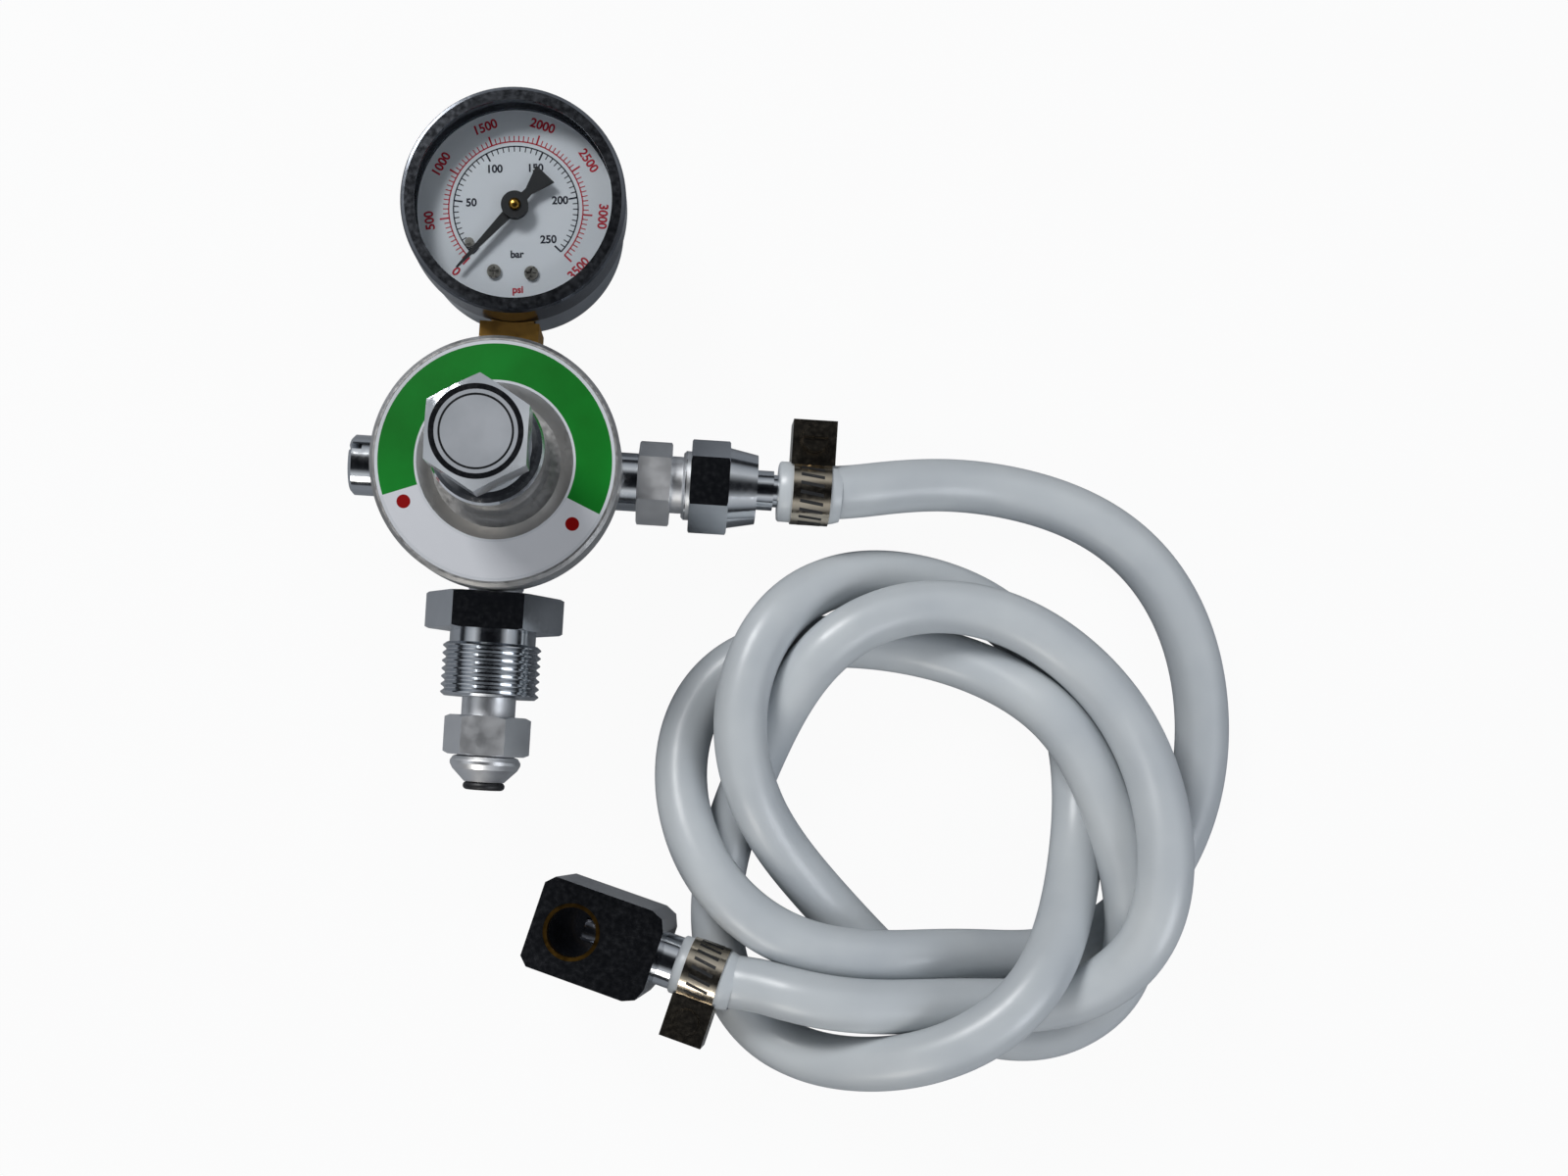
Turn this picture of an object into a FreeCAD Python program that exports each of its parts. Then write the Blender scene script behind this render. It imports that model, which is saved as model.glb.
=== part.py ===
import FreeCAD, Part
import Sketcher
import math
import os

# An oxygen regulator lying on its back with a coiled hose and a connector block.
# Millimetres. The origin is the centre of the regulator's flat back face, +Z is up,
# +Y goes to the gauge, -Y to the inlet, +X to the outlet and -X to the relief valve.

doc = FreeCAD.newDocument("Regulator")
os.makedirs("parts", exist_ok=True)
Vector = FreeCAD.Vector
Rotation = FreeCAD.Rotation

sizes = {
    # fits
    "fixedFit": 0.05,
    "freeGap": 0.3,
    # regulator body
    "bodyR": 23.5,
    "bodyTop": 24.0,
    "bodyEdge": 1.2,
    "portHeight": 17.0,
    "portBoreR": 4.55,
    "portBoreStart": 19.0,
    "passageR": 2.6,
    "drillingR": 1.5,
    "inletBossR": 6.5,
    "inletBossEnd": 27.0,
    "gaugeBossR": 6.8,
    "gaugeBossEnd": 28.2,
    "outletBossR": 6.75,
    "outletBossEnd": 31.6,
    "reliefBossEnd": 28.0,
    "chamberR": 18.0,
    "chamberFloor": 21.0,
    "pocketR": 10.0,
    "pocketFloor": 14.0,
    "valveBoreR": 8.0,
    "valveBoreTop": 12.0,
    "nozzleHoleR": 3.0,
    # valve
    "plugRecess": 0.3,
    "plugTop": 4.5,
    "plugHoleR": 1.2,
    "plugHoleReach": 5.0,
    "seatHeight": 11.0,
    "seatR": 5.0,
    "seatBoreR": 1.6,
    "nozzleTop": 15.0,
    "poppetR": 4.6,
    "poppetThick": 2.4,
    "poppetSpigotR": 2.4,
    "poppetSpigot": 1.6,
    "stemR": 1.1,
    "stemTop": 22.2,
    "poppetSpringR": 3.2,
    "poppetWireR": 0.35,
    # diaphragm and load spring
    "diaphragmR": 21.0,
    "diaphragmThick": 0.6,
    "rivetR": 2.0,
    "washerR": 6.0,
    "washerThick": 1.5,
    "plateR": 12.0,
    "plateThick": 1.8,
    "plateHubR": 3.2,
    "plateHub": 2.6,
    "mainSpringR": 5.4,
    "mainWireR": 0.8,
    "buttonBottom": 43.2,
    "buttonThick": 2.3,
    "buttonR": 6.7,
    "buttonNose": 3.2,
    # bonnet and label
    "bonnetR": 28.2,
    "bonnetTop": 36.0,
    "bonnetEdge": 0.8,
    "labelSink": 0.4,
    "labelOuterR": 27.0,
    "labelInnerR": 17.5,
    "dishR": 14.5,
    "dishFloor": 33.0,
    "neckR": 10.0,
    "neckTop": 50.0,
    "neckBoreR": 7.0,
    "cavityR": 17.0,
    "cavityTop": 29.0,
    # adjusting knob
    "knobBottom": 37.0,
    "skirtR": 12.5,
    "skirtBoreR": 10.5,
    "skirtHeight": 19.2,
    "knobRoof": 16.5,
    "knobNeckR": 10.0,
    "knobNeckTop": 26.0,
    "knobHexAcross": 21.0,
    "knobHexLandR": 9.7,
    "knobTop": 35.5,
    "knobStemR": 5.5,
    "badgeR": 8.6,
    "badgeSink": 0.5,
    # gauge
    "gaugeGap": 1.4,
    "caseR": 24.2,
    "caseBack": 6.0,
    "caseWall": 1.5,
    "caseSkin": 2.4,
    "caseLip": 1.4,
    "caseTop": 26.0,
    "bezelWall": 1.3,
    "bezelBottom": 23.0,
    "bezelTop": 33.0,
    "bezelFace": 3.2,
    "bezelLip": 0.8,
    "bezelSkin": 2.0,
    "windowThick": 1.4,
    "dialGap": 0.2,
    "dialBottom": 25.0,
    "dialThick": 0.5,
    "dialHoleR": 1.5,
    "pointerBottom": 27.4,
    "pointerThick": 0.6,
    "pointerHubR": 3.1,
    "pointerHub": 1.6,
    "pointerTip": 19.4,
    "pointerTail": 10.0,
    "pointerTailWidth": 5.6,
    "pointerShaftR": 0.8,
    "pointerZeroAngle": 230.0,
    "stopPinR": 1.05,
    "stopPinReach": 13.2,
    "stopPinAngle": 221.0,
    "stopPin": 1.5,
    "spigotR": 0.7,
    "dialScrewR": 1.6,
    "dialScrewReach": 15.3,
    "dialScrewHead": 0.7,
    "dialScrewLeft": 254.6,
    "dialScrewRight": 287.1,
    "socketAcross": 13.7,
    "socketEnd": 34.0,
    "socketNeckR": 5.0,
    "socketBlock": 12.0,
    "socketBlockGap": 1.4,
    "socketBlockHigh": 8.0,
    "socketBlockOver": 2.4,
    "bourdonR": 16.0,
    "bourdonTubeR": 1.7,
    "bourdonHeight": 13.0,
    "bourdonStart": -63.0,
    "bourdonSweep": 244.0,
    "movementWidth": 9.0,
    "movementBottom": 15.2,
    "movementThick": 1.6,
    "movementHubR": 4.5,
    "movementTop": 22.4,
    "movementBoreR": 1.2,
    # inlet, measured along -Y
    "stemOuterR": 6.3,
    "gasBoreR": 2.5,
    "noseHexStart": 56.8,
    "noseHexEnd": 66.0,
    "noseHexAcross": 17.6,
    "noseHexLandR": 8.9,
    "noseRollR": 8.25,
    "noseRollEnd": 69.3,
    "noseConeR": 7.6,
    "noseTipStart": 72.2,
    "noseTipR": 4.7,
    "noseSpigotR": 2.95,
    "noseEnd": 74.1,
    "oringR": 3.95,
    "oringTubeR": 0.95,
    "filterLength": 8.0,
    "gasNutStart": 28.6,
    "gasNutAcross": 28.0,
    "gasNutHexEnd": 37.0,
    "gasNutNeckR": 10.05,
    "gasNutNeckEnd": 40.0,
    "gasThreadR": 11.455,
    "gasThreadDepth": 0.8,
    "gasThreadPitch": 1.814,
    "gasThreadEnd": 52.5,
    "gasNutLandR": 15.4,
    # outlet, measured along +X
    "adapterAcross": 17.0,
    "adapterHexEnd": 39.3,
    "adapterNeckR": 6.6,
    "adapterNeckEnd": 42.0,
    "adapterThreadR": 8.0,
    "adapterEnd": 49.0,
    "adapterLandR": 9.2,
    "unionAcross": 19.0,
    "unionStart": 43.8,
    "unionHexEnd": 52.8,
    "unionEnd": 59.3,
    "unionConeR": 8.0,
    "unionFloor": 54.0,
    "unionLandR": 10.4,
    "tailHeadR": 7.6,
    "tailStemR": 4.6,
    "tailCollarEnd": 63.2,
    "tailGrooveR": 3.75,
    "barbR": 2.95,
    "barbLength": 13.0,
    # hose
    "hoseR": 6.25,
    "hoseBoreR": 3.0,
    "hoseSwellR": 7.0,
    "hoseStart": 64.4,
    "hoseSwellLength": 12.6,
    "hoseSwellTaper": 1.6,
    "coilX": 101.2,
    "coilY": -73.7,
    "coilOuterR": 61.0,
    "coilInnerR": 32.0,
    "coilHeight": 35.0,
    "coilEdge": 5.0,
    "notchWidth": 44.0,
    # hose clamps
    "bandWidth": 8.8,
    "bandR": 7.45,
    "clampCentre": 72.0,
    "housingWidth": 10.2,
    "housingReach": 16.4,
    "housingHeight": 9.0,
    "housingRoot": 5.5,
    "wormReach": 11.6,
    "wormR": 2.95,
    "wormBottom": 5.6,
    "wormTop": 7.4,
    "slotWidth": 1.0,
    "slotDepth": 1.2,
    # connector block
    "blockX": 29.8,
    "blockY": -106.9,
    "blockYaw": -15.1,
    "blockTilt": 8.0,
    "blockLength": 29.6,
    "blockWidth": 21.8,
    "blockHeight": 24.8,
    "blockCorner": 4.0,
    "blockPortX": -5.3,
    "blockPortR": 5.75,
    "blockPortDepth": 16.0,
    "ringWall": 0.9,
    "ringDepth": 2.0,
    "blockNeckR": 6.3,
    "blockNeck": 4.0,
    "blockBoreR": 4.5,
    "hoseEndLength": 14.4,
    # relief valve, measured along -X
    "reliefCapR": 7.0,
    "reliefCapEnd": 35.3,
    "reliefCapEdge": 0.8,
    "reliefSkirt": 5.5,
    "reliefFloor": 4.0,
    "reliefSlot": 1.5,
    "reliefSlotDepth": 3.0,
    "reliefPoppetR": 3.6,
    "reliefPoppetEnd": 22.5,
    "reliefSeat": 20.0,
    "reliefSpringR": 2.6,
    "reliefWireR": 0.35,
}

sheet = doc.addObject("Spreadsheet::Sheet", "Sizes")
for rowNumber, (alias, number) in enumerate(sizes.items(), start=1):
    sheet.set("A%d" % rowNumber, alias)
    sheet.set("B%d" % rowNumber, str(number))
    sheet.setAlias("B%d" % rowNumber, alias)
doc.recompute()


class Size:
    # A number with the sheet expression that gives it.
    def __init__(self, number, text):
        self.number = float(number)
        self.text = text

    def join(self, other, sign, number):
        return Size(number, "(%s %s %s)" % (self.text, sign, other.text))

    def __add__(self, other):
        other = asSize(other)
        return self.join(other, "+", self.number + other.number)

    def __sub__(self, other):
        other = asSize(other)
        return self.join(other, "-", self.number - other.number)

    def __mul__(self, other):
        other = asSize(other)
        return self.join(other, "*", self.number * other.number)

    def __truediv__(self, other):
        other = asSize(other)
        return self.join(other, "/", self.number / other.number)

    def __float__(self):
        return self.number


def asSize(value):
    if isinstance(value, Size):
        return value
    return Size(value, repr(float(value)))


def s(alias):
    return Size(sizes[alias], "Sizes." + alias)


zero = asSize(0)
parts = []

# The gauge hangs on its socket, and its case, bezel and dial follow the case's radius.
gaugeY = s("socketEnd") + s("gaugeGap") + s("caseR")
caseInnerR = s("caseR") - s("caseSkin")
caseLipR = s("caseR") - s("caseLip")
bezelR = s("caseR") + s("bezelWall")
bezelInnerR = bezelR - s("bezelSkin")
bezelWindowR = bezelR - s("bezelFace")
socketBlockEnd = gaugeY - s("bourdonR") + s("socketBlockOver")
hexCornerRatio = 1 / math.sqrt(3)

# Turns that take a piece's own +Z to each direction, with a flat of a hexagon up.
ways = {
    "+Z": Rotation(),
    "-Z": Rotation(Vector(1, 0, 0), 180),
    "+X": Rotation(Vector(0, 1, 0), 90) * Rotation(Vector(0, 0, 1), 30),
    "-X": Rotation(Vector(0, 1, 0), -90) * Rotation(Vector(0, 0, 1), 30),
    "+Y": Rotation(Vector(1, 0, 0), -90),
    "-Y": Rotation(Vector(1, 0, 0), 90),
}


def at(x, y, z, way="+Z"):
    return FreeCAD.Placement(Vector(float(x), float(y), float(z)), ways[way])


def bind(item, prop, value):
    value = asSize(value)
    setattr(item, prop, value.number)
    if "Sizes." in value.text:
        item.setExpression(prop, value.text)


def cylinder(radius, height, place=None):
    item = doc.addObject("Part::Cylinder", "Round")
    bind(item, "Radius", radius)
    bind(item, "Height", height)
    if place:
        item.Placement = place
    return item


def cone(bottomR, topR, height, place=None):
    item = doc.addObject("Part::Cone", "Taper")
    bind(item, "Radius1", bottomR)
    bind(item, "Radius2", topR)
    bind(item, "Height", height)
    if place:
        item.Placement = place
    return item


def block(length, width, height, x, y, z):
    # The point x, y, z is the middle of the bottom face.
    item = doc.addObject("Part::Box", "Block")
    bind(item, "Length", length)
    bind(item, "Width", width)
    bind(item, "Height", height)
    corner = Vector(float(x) - float(length) / 2, float(y) - float(width) / 2, float(z))
    item.Placement = FreeCAD.Placement(corner, Rotation())
    return item


def hexagon(across, height, place=None):
    item = doc.addObject("Part::Prism", "Hexagon")
    item.Polygon = 6
    bind(item, "Circumradius", asSize(across) * hexCornerRatio)
    bind(item, "Height", height)
    if place:
        item.Placement = place
    return item


def torus(radius, tubeR, place=None, start=0, sweep=360):
    item = doc.addObject("Part::Torus", "Ring")
    bind(item, "Radius1", radius)
    bind(item, "Radius2", tubeR)
    bind(item, "Angle3", sweep)
    if place:
        item.Placement = place
    return item


def fuse(shapes):
    item = doc.addObject("Part::MultiFuse", "Joined")
    item.Shapes = shapes
    return item


def common(shapes):
    item = doc.addObject("Part::MultiCommon", "Shared")
    item.Shapes = shapes
    return item


def cut(base, tools):
    item = doc.addObject("Part::Cut", "Cut")
    item.Base = base
    item.Tool = tools[0] if len(tools) == 1 else fuse(tools)
    return item


def outlineSketch(body, name, role, points):
    # Straight edges through the points, each point held by its two distances.
    sketch = body.newObject("Sketcher::SketchObject", name)
    plane = [f for f in body.Origin.OriginFeatures if f.Role == role][0]
    sketch.AttachmentSupport = (plane, [""])
    sketch.MapMode = "FlatFace"
    spots = [(asSize(x), asSize(y)) for x, y in points]
    count = len(spots)
    for index in range(count):
        x0, y0 = spots[index]
        x1, y1 = spots[(index + 1) % count]
        start = Vector(x0.number, y0.number, 0)
        end = Vector(x1.number, y1.number, 0)
        sketch.addGeometry(Part.LineSegment(start, end), False)
    for index in range(count):
        following = (index + 1) % count
        sketch.addConstraint(Sketcher.Constraint("Coincident", index, 2, following, 1))
    for index, (x, y) in enumerate(spots):
        for kind, value, axis in (("DistanceX", x, -2), ("DistanceY", y, -1)):
            if abs(value.number) < 1e-9:
                sketch.addConstraint(Sketcher.Constraint("PointOnObject", index, 1, axis))
                continue
            rule = Sketcher.Constraint(kind, -1, 1, index, 1, value.number)
            number = sketch.addConstraint(rule)
            if "Sizes." in value.text:
                sketch.setExpression("Constraints[%d]" % number, value.text)
    return sketch


def turned(name, points):
    # A body of revolution about its own Z from points of (radius, height).
    body = doc.addObject("PartDesign::Body", name)
    sketch = outlineSketch(body, name + "Outline", "XZ_Plane", points)
    turn = body.newObject("PartDesign::Revolution", name + "Turn")
    turn.Profile = sketch
    turn.ReferenceAxis = (sketch, ["V_Axis"])
    turn.Angle = 360
    body.Tip = turn
    return body


def padded(name, points, height):
    # A flat outline in its own XY plane raised along +Z.
    body = doc.addObject("PartDesign::Body", name)
    sketch = outlineSketch(body, name + "Outline", "XY_Plane", points)
    pad = body.newObject("PartDesign::Pad", name + "Pad")
    pad.Profile = sketch
    bind(pad, "Length", height)
    body.Tip = pad
    return body


def spring(radius, wireR, bottom, top, turns):
    # A helix of round wire whose lowest and highest points are the two heights.
    path = doc.addObject("Part::Helix", "SpringLine")
    wireSpan = (asSize(top) - bottom) - asSize(wireR) * 2
    bind(path, "Radius", radius)
    bind(path, "Pitch", wireSpan / turns)
    bind(path, "Height", wireSpan)
    start = Vector(0, 0, float(bottom) + float(wireR))
    path.Placement = FreeCAD.Placement(start, Rotation())
    wire = doc.addObject("Part::Circle", "SpringWire")
    bind(wire, "Radius", wireR)
    wire.Placement = FreeCAD.Placement(
        Vector(float(radius), 0, start.z), Rotation(Vector(1, 0, 0), 90)
    )
    coil = doc.addObject("Part::Sweep", "SpringCoil")
    coil.Sections = [wire]
    coil.Spine = path
    coil.Solid = True
    coil.Frenet = True
    return coil


def keep(label, item, place=None):
    item.Label = label
    if place:
        item.Placement = place
    parts.append((label, item))
    return item


def hexSolid(name, across, length, landR):
    # A hexagon whose corners are turned down at both ends.
    corner = asSize(across) * hexCornerRatio + 0.2
    drop = (corner - landR) * 0.45
    end = asSize(length)
    outline = [
        (zero, zero),
        (landR, zero),
        (corner, drop),
        (corner, end - drop),
        (landR, end),
        (zero, end),
    ]
    return common([hexagon(across, length), turned(name, outline)])


def makeBody():
    height = s("portHeight")
    outline = [
        (zero, zero),
        (s("bodyR") - s("bodyEdge"), zero),
        (s("bodyR"), s("bodyEdge")),
        (s("bodyR"), s("bodyTop")),
        (zero, s("bodyTop")),
    ]
    core = turned("BodyCore", outline)
    core.Placement = FreeCAD.Placement(Vector(), Rotation(Vector(0, 0, 1), 45))
    bosses = [
        cylinder(s("inletBossR"), s("inletBossEnd"), at(0, 0, height, "-Y")),
        cylinder(s("gaugeBossR"), s("gaugeBossEnd"), at(0, 0, height, "+Y")),
        cylinder(s("outletBossR"), s("outletBossEnd"), at(0, 0, height, "+X")),
        cylinder(s("outletBossR"), s("reliefBossEnd"), at(0, 0, height, "-X")),
    ]
    deep = s("portBoreStart")
    hollows = [
        cylinder(s("valveBoreR"), s("valveBoreTop")),
        cylinder(s("nozzleHoleR"), s("pocketFloor") - s("valveBoreTop"), at(0, 0, s("valveBoreTop"))),
        cylinder(s("pocketR"), s("chamberFloor") - s("pocketFloor"), at(0, 0, s("pocketFloor"))),
        cylinder(s("chamberR"), s("bodyTop") - s("chamberFloor"), at(0, 0, s("chamberFloor"))),
    ]
    ends = {"-Y": "inletBossEnd", "+Y": "gaugeBossEnd", "+X": "outletBossEnd", "-X": "reliefBossEnd"}
    for way, boss in ends.items():
        away = ways[way].multVec(Vector(0, 0, 1))
        start = s("reliefSeat") if way == "-X" else deep
        spot = at(away.x * float(start), away.y * float(start), height, way)
        hollows.append(cylinder(s("portBoreR"), s(boss) - start, spot))
    for way in ("+X", "-X"):
        hollows.append(cylinder(s("passageR"), s("reliefSeat"), at(0, 0, height, way)))
    for side in (1, -1):
        hollows.append(slantedDrilling(side))
    return keep("body", cut(fuse([core] + bosses), hollows))


def slantedDrilling(side):
    start = Vector(0, side * (sizes["portBoreStart"] + 1), sizes["portHeight"])
    end = Vector(0, side * (sizes["valveBoreR"] - 2), sizes["seatHeight"] - 3.5)
    run = end - start
    item = cylinder(s("drillingR"), run.Length)
    item.Placement = FreeCAD.Placement(start, Rotation(Vector(0, 0, 1), run))
    return item


def makeBackPlug():
    radius = s("valveBoreR") - s("fixedFit")
    base = cylinder(radius, s("plugTop") - s("plugRecess"), at(0, 0, s("plugRecess")))
    holes = []
    for side in (1, -1):
        spot = at(side * sizes["plugHoleReach"], 0, s("plugRecess"))
        holes.append(cylinder(s("plugHoleR"), 2, spot))
    keep("back_plug", cut(base, holes))


def makeValve():
    wall = s("valveBoreTop") - s("seatHeight")
    sleeve = s("nozzleHoleR") - s("fixedFit")
    tall = s("nozzleTop") - s("seatHeight")
    outline = [
        (s("seatBoreR"), zero),
        (s("seatR"), zero),
        (s("seatR"), wall),
        (sleeve, wall),
        (sleeve, tall),
        (s("seatBoreR"), tall),
    ]
    keep("valve_nozzle", turned("Nozzle", outline), at(0, 0, s("seatHeight")))

    top = s("seatHeight") - s("freeGap")
    bottom = top - s("poppetThick")
    spigotEnd = bottom - s("poppetSpigot")
    discTop = top - spigotEnd
    outline = [
        (zero, zero),
        (s("poppetSpigotR"), zero),
        (s("poppetSpigotR"), bottom - spigotEnd),
        (s("poppetR"), bottom - spigotEnd),
        (s("poppetR"), discTop - 1),
        (s("stemR") + 1.4, discTop),
        (s("stemR"), discTop),
        (s("stemR"), s("stemTop") - spigotEnd),
        (zero, s("stemTop") - spigotEnd),
    ]
    keep("valve_poppet", turned("Poppet", outline), at(0, 0, spigotEnd))

    coil = spring(s("poppetSpringR"), s("poppetWireR"), s("plugTop") + s("freeGap"), bottom - 0.05, 3)
    keep("poppet_spring", coil)


def makeDiaphragm():
    base = cylinder(s("diaphragmR"), s("diaphragmThick"), at(0, 0, s("bodyTop")))
    hole = cylinder(s("rivetR") + s("fixedFit"), s("diaphragmThick"), at(0, 0, s("bodyTop")))
    keep("diaphragm", cut(base, [hole]))

    washer = s("washerThick")
    sheetTop = washer + s("diaphragmThick")
    plateTop = sheetTop + s("plateThick")
    hubTop = plateTop + s("plateHub")
    outline = [
        (zero, zero),
        (s("washerR"), zero),
        (s("washerR"), washer),
        (s("rivetR"), washer),
        (s("rivetR"), sheetTop),
        (s("plateR"), sheetTop),
        (s("plateR"), plateTop),
        (s("plateHubR"), plateTop),
        (s("plateHubR"), hubTop),
        (zero, hubTop),
    ]
    keep("diaphragm_plate", turned("Plate", outline), at(0, 0, s("bodyTop") - washer))

    springFoot = s("bodyTop") + s("diaphragmThick") + s("plateThick") + s("freeGap")
    coil = spring(s("mainSpringR"), s("mainWireR"), springFoot, s("buttonBottom") - 0.05, 6)
    keep("main_spring", coil)

    nose = s("buttonNose")
    tall = nose + s("buttonThick")
    outline = [
        (zero, zero),
        (s("plateHubR"), zero),
        (s("plateHubR"), nose),
        (s("buttonR"), nose),
        (s("buttonR"), tall - 0.5),
        (s("buttonR") - 0.5, tall),
        (zero, tall),
    ]
    keep("spring_button", turned("Button", outline), at(0, 0, s("buttonBottom") - nose))


def makeBonnet():
    base = s("bodyTop")
    seat = s("diaphragmThick") + s("fixedFit")
    recessR = s("diaphragmR") + s("fixedFit")
    top = s("bonnetTop") - base
    edge = s("bonnetEdge")
    labelFloor = top - s("labelSink")
    outline = [
        (recessR, zero),
        (s("bonnetR") - edge, zero),
        (s("bonnetR"), edge),
        (s("bonnetR"), top - edge),
        (s("bonnetR") - edge, top),
        (s("labelOuterR"), top),
        (s("labelOuterR"), labelFloor),
        (s("labelInnerR"), labelFloor),
        (s("dishR"), s("dishFloor") - base),
        (s("neckR"), s("dishFloor") - base),
        (s("neckR"), s("neckTop") - base - edge),
        (s("neckR") - edge, s("neckTop") - base),
        (s("neckBoreR"), s("neckTop") - base),
        (s("neckBoreR"), s("cavityTop") - base),
        (s("cavityR"), s("cavityTop") - base),
        (s("cavityR"), seat),
        (recessR, seat),
    ]
    keep("bonnet", turned("Bonnet", outline), at(0, 0, base))

    thick = s("labelSink") - s("fixedFit")
    outer = cylinder(s("labelOuterR") - s("fixedFit"), thick)
    inner = cylinder(s("labelInnerR") + s("fixedFit"), thick)
    keep("face_label", cut(outer, [inner]), at(0, 0, s("bonnetTop") - s("labelSink")))


def makeKnob():
    stemFoot = s("buttonBottom") + s("buttonThick") + s("freeGap") - s("knobBottom")
    roof = s("knobRoof")
    shoulder = s("skirtHeight")
    outline = [
        (zero, stemFoot),
        (s("knobStemR"), stemFoot),
        (s("knobStemR"), roof),
        (s("skirtBoreR"), roof),
        (s("skirtBoreR"), zero),
        (s("skirtR") - 0.5, zero),
        (s("skirtR"), asSize(0.5)),
        (s("skirtR"), shoulder - 2.6),
        (s("skirtR") - 0.4, shoulder - 1.2),
        (s("skirtR") - 1.3, shoulder - 0.3),
        (s("knobNeckR"), shoulder),
        (s("knobNeckR"), s("knobNeckTop")),
        (zero, s("knobNeckTop")),
    ]
    skirt = turned("Knob", outline)
    length = s("knobTop") - s("knobNeckTop")
    head = hexSolid("KnobHexLand", s("knobHexAcross"), length, s("knobHexLandR"))
    head.Placement = FreeCAD.Placement(Vector(0, 0, sizes["knobNeckTop"]), Rotation(Vector(0, 0, 1), 30))
    well = cylinder(s("badgeR"), s("badgeSink"), at(0, 0, s("knobTop") - s("badgeSink")))
    keep("adjusting_knob", cut(fuse([skirt, head]), [well]), at(0, 0, s("knobBottom")))

    thick = s("badgeSink") - s("fixedFit")
    spot = s("knobBottom") + s("knobTop") - s("badgeSink")
    keep("knob_badge", cylinder(s("badgeR") - s("fixedFit"), thick), at(0, 0, spot))


def makeGaugeShell():
    back = s("caseBack")
    wall = s("caseWall")
    shelf = s("dialBottom") - back
    top = s("caseTop") - back
    outline = [
        (zero, zero),
        (s("caseR") - wall, zero),
        (s("caseR"), wall),
        (s("caseR"), top),
        (caseLipR, top),
        (caseLipR, shelf),
        (caseInnerR, shelf),
        (caseInnerR, wall),
        (zero, wall),
    ]
    cup = turned("Case", outline)
    hole = cylinder(s("socketNeckR") + s("freeGap"), s("caseR"), at(0, 0, s("portHeight") - back, "-Y"))
    keep("gauge_case", cut(cup, [hole]), at(0, gaugeY, back))

    low = s("bezelBottom")
    top = s("bezelTop") - low
    joint = s("caseTop") + s("fixedFit") - low
    sleeve = s("caseR") + s("fixedFit")
    lip = top - s("bezelLip")
    outline = [
        (sleeve, zero),
        (bezelR - 0.4, zero),
        (bezelR, asSize(0.4)),
        (bezelR, top - 1),
        (bezelR - 0.4, top - 0.2),
        (bezelR - 1, top),
        (bezelWindowR, top),
        (bezelWindowR, lip),
        (bezelInnerR, lip),
        (bezelInnerR, joint),
        (sleeve, joint),
    ]
    keep("gauge_bezel", turned("Bezel", outline), at(0, gaugeY, low))

    under = s("bezelTop") - s("bezelLip") - s("windowThick") - s("fixedFit")
    pane = cylinder(bezelInnerR - s("fixedFit"), s("windowThick"))
    keep("gauge_window", pane, at(0, gaugeY, under))


def dialSpot(reach, angle, z):
    turn = math.radians(sizes[angle])
    x = sizes[reach] * math.cos(turn)
    y = sizes[reach] * math.sin(turn)
    return at(x, y, z)


def makeGaugeFace():
    face = cylinder(caseLipR - s("dialGap"), s("dialThick"))
    holes = [cylinder(s("dialHoleR"), s("dialThick"))]
    spots = (
        ("stopPinReach", "stopPinAngle"),
        ("dialScrewReach", "dialScrewLeft"),
        ("dialScrewReach", "dialScrewRight"),
    )
    for reach, angle in spots:
        holes.append(cylinder(s("spigotR") + s("fixedFit"), s("dialThick"), dialSpot(reach, angle, 0)))
    keep("gauge_dial", cut(face, holes), at(0, gaugeY, s("dialBottom")))

    front = s("dialBottom") + s("dialThick")
    gauge = Vector(0, float(gaugeY), float(front))
    pin = fuse([
        cylinder(s("stopPinR"), s("stopPin")),
        cylinder(s("spigotR"), s("dialThick"), at(0, 0, s("dialThick") * -1)),
    ])
    spot = dialSpot("stopPinReach", "stopPinAngle", 0)
    keep("pointer_stop", pin, at(spot.Base.x, spot.Base.y + gauge.y, gauge.z))
    for label, angle in (("dial_screw_left", "dialScrewLeft"), ("dial_screw_right", "dialScrewRight")):
        head = cylinder(s("dialScrewR"), s("dialScrewHead"))
        shank = cylinder(s("spigotR"), s("dialThick") * 2, at(0, 0, s("dialThick") * -2))
        cross = [
            block(2.2, 0.45, 0.4, 0, 0, s("dialScrewHead") - 0.35),
            block(0.45, 2.2, 0.4, 0, 0, s("dialScrewHead") - 0.35),
        ]
        spot = dialSpot("dialScrewReach", angle, 0)
        screw = cut(fuse([head, shank]), cross)
        keep(label, screw, at(spot.Base.x, spot.Base.y + gauge.y, gauge.z))


def makePointer():
    half = s("pointerTailWidth") / 2
    outline = [
        (s("pointerTail") * -1, half),
        (s("pointerTail") * -1, half * -1),
        (s("pointerTail") * -0.45, half * -0.32),
        (zero, half * -0.45),
        (s("pointerTip"), asSize(-0.18)),
        (s("pointerTip"), asSize(0.18)),
        (zero, half * 0.45),
        (s("pointerTail") * -0.45, half * 0.32),
    ]
    blade = padded("Pointer", outline, s("pointerThick"))
    hub = cylinder(s("pointerHubR"), s("pointerHub"))
    foot = s("pointerBottom") - (s("movementTop") - 3)
    shaft = cylinder(s("pointerShaftR"), foot, at(0, 0, foot * -1))
    place = FreeCAD.Placement(
        Vector(0, float(gaugeY), sizes["pointerBottom"]),
        Rotation(Vector(0, 0, 1), sizes["pointerZeroAngle"]),
    )
    keep("gauge_pointer", fuse([blade, hub, shaft]), place)


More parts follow.
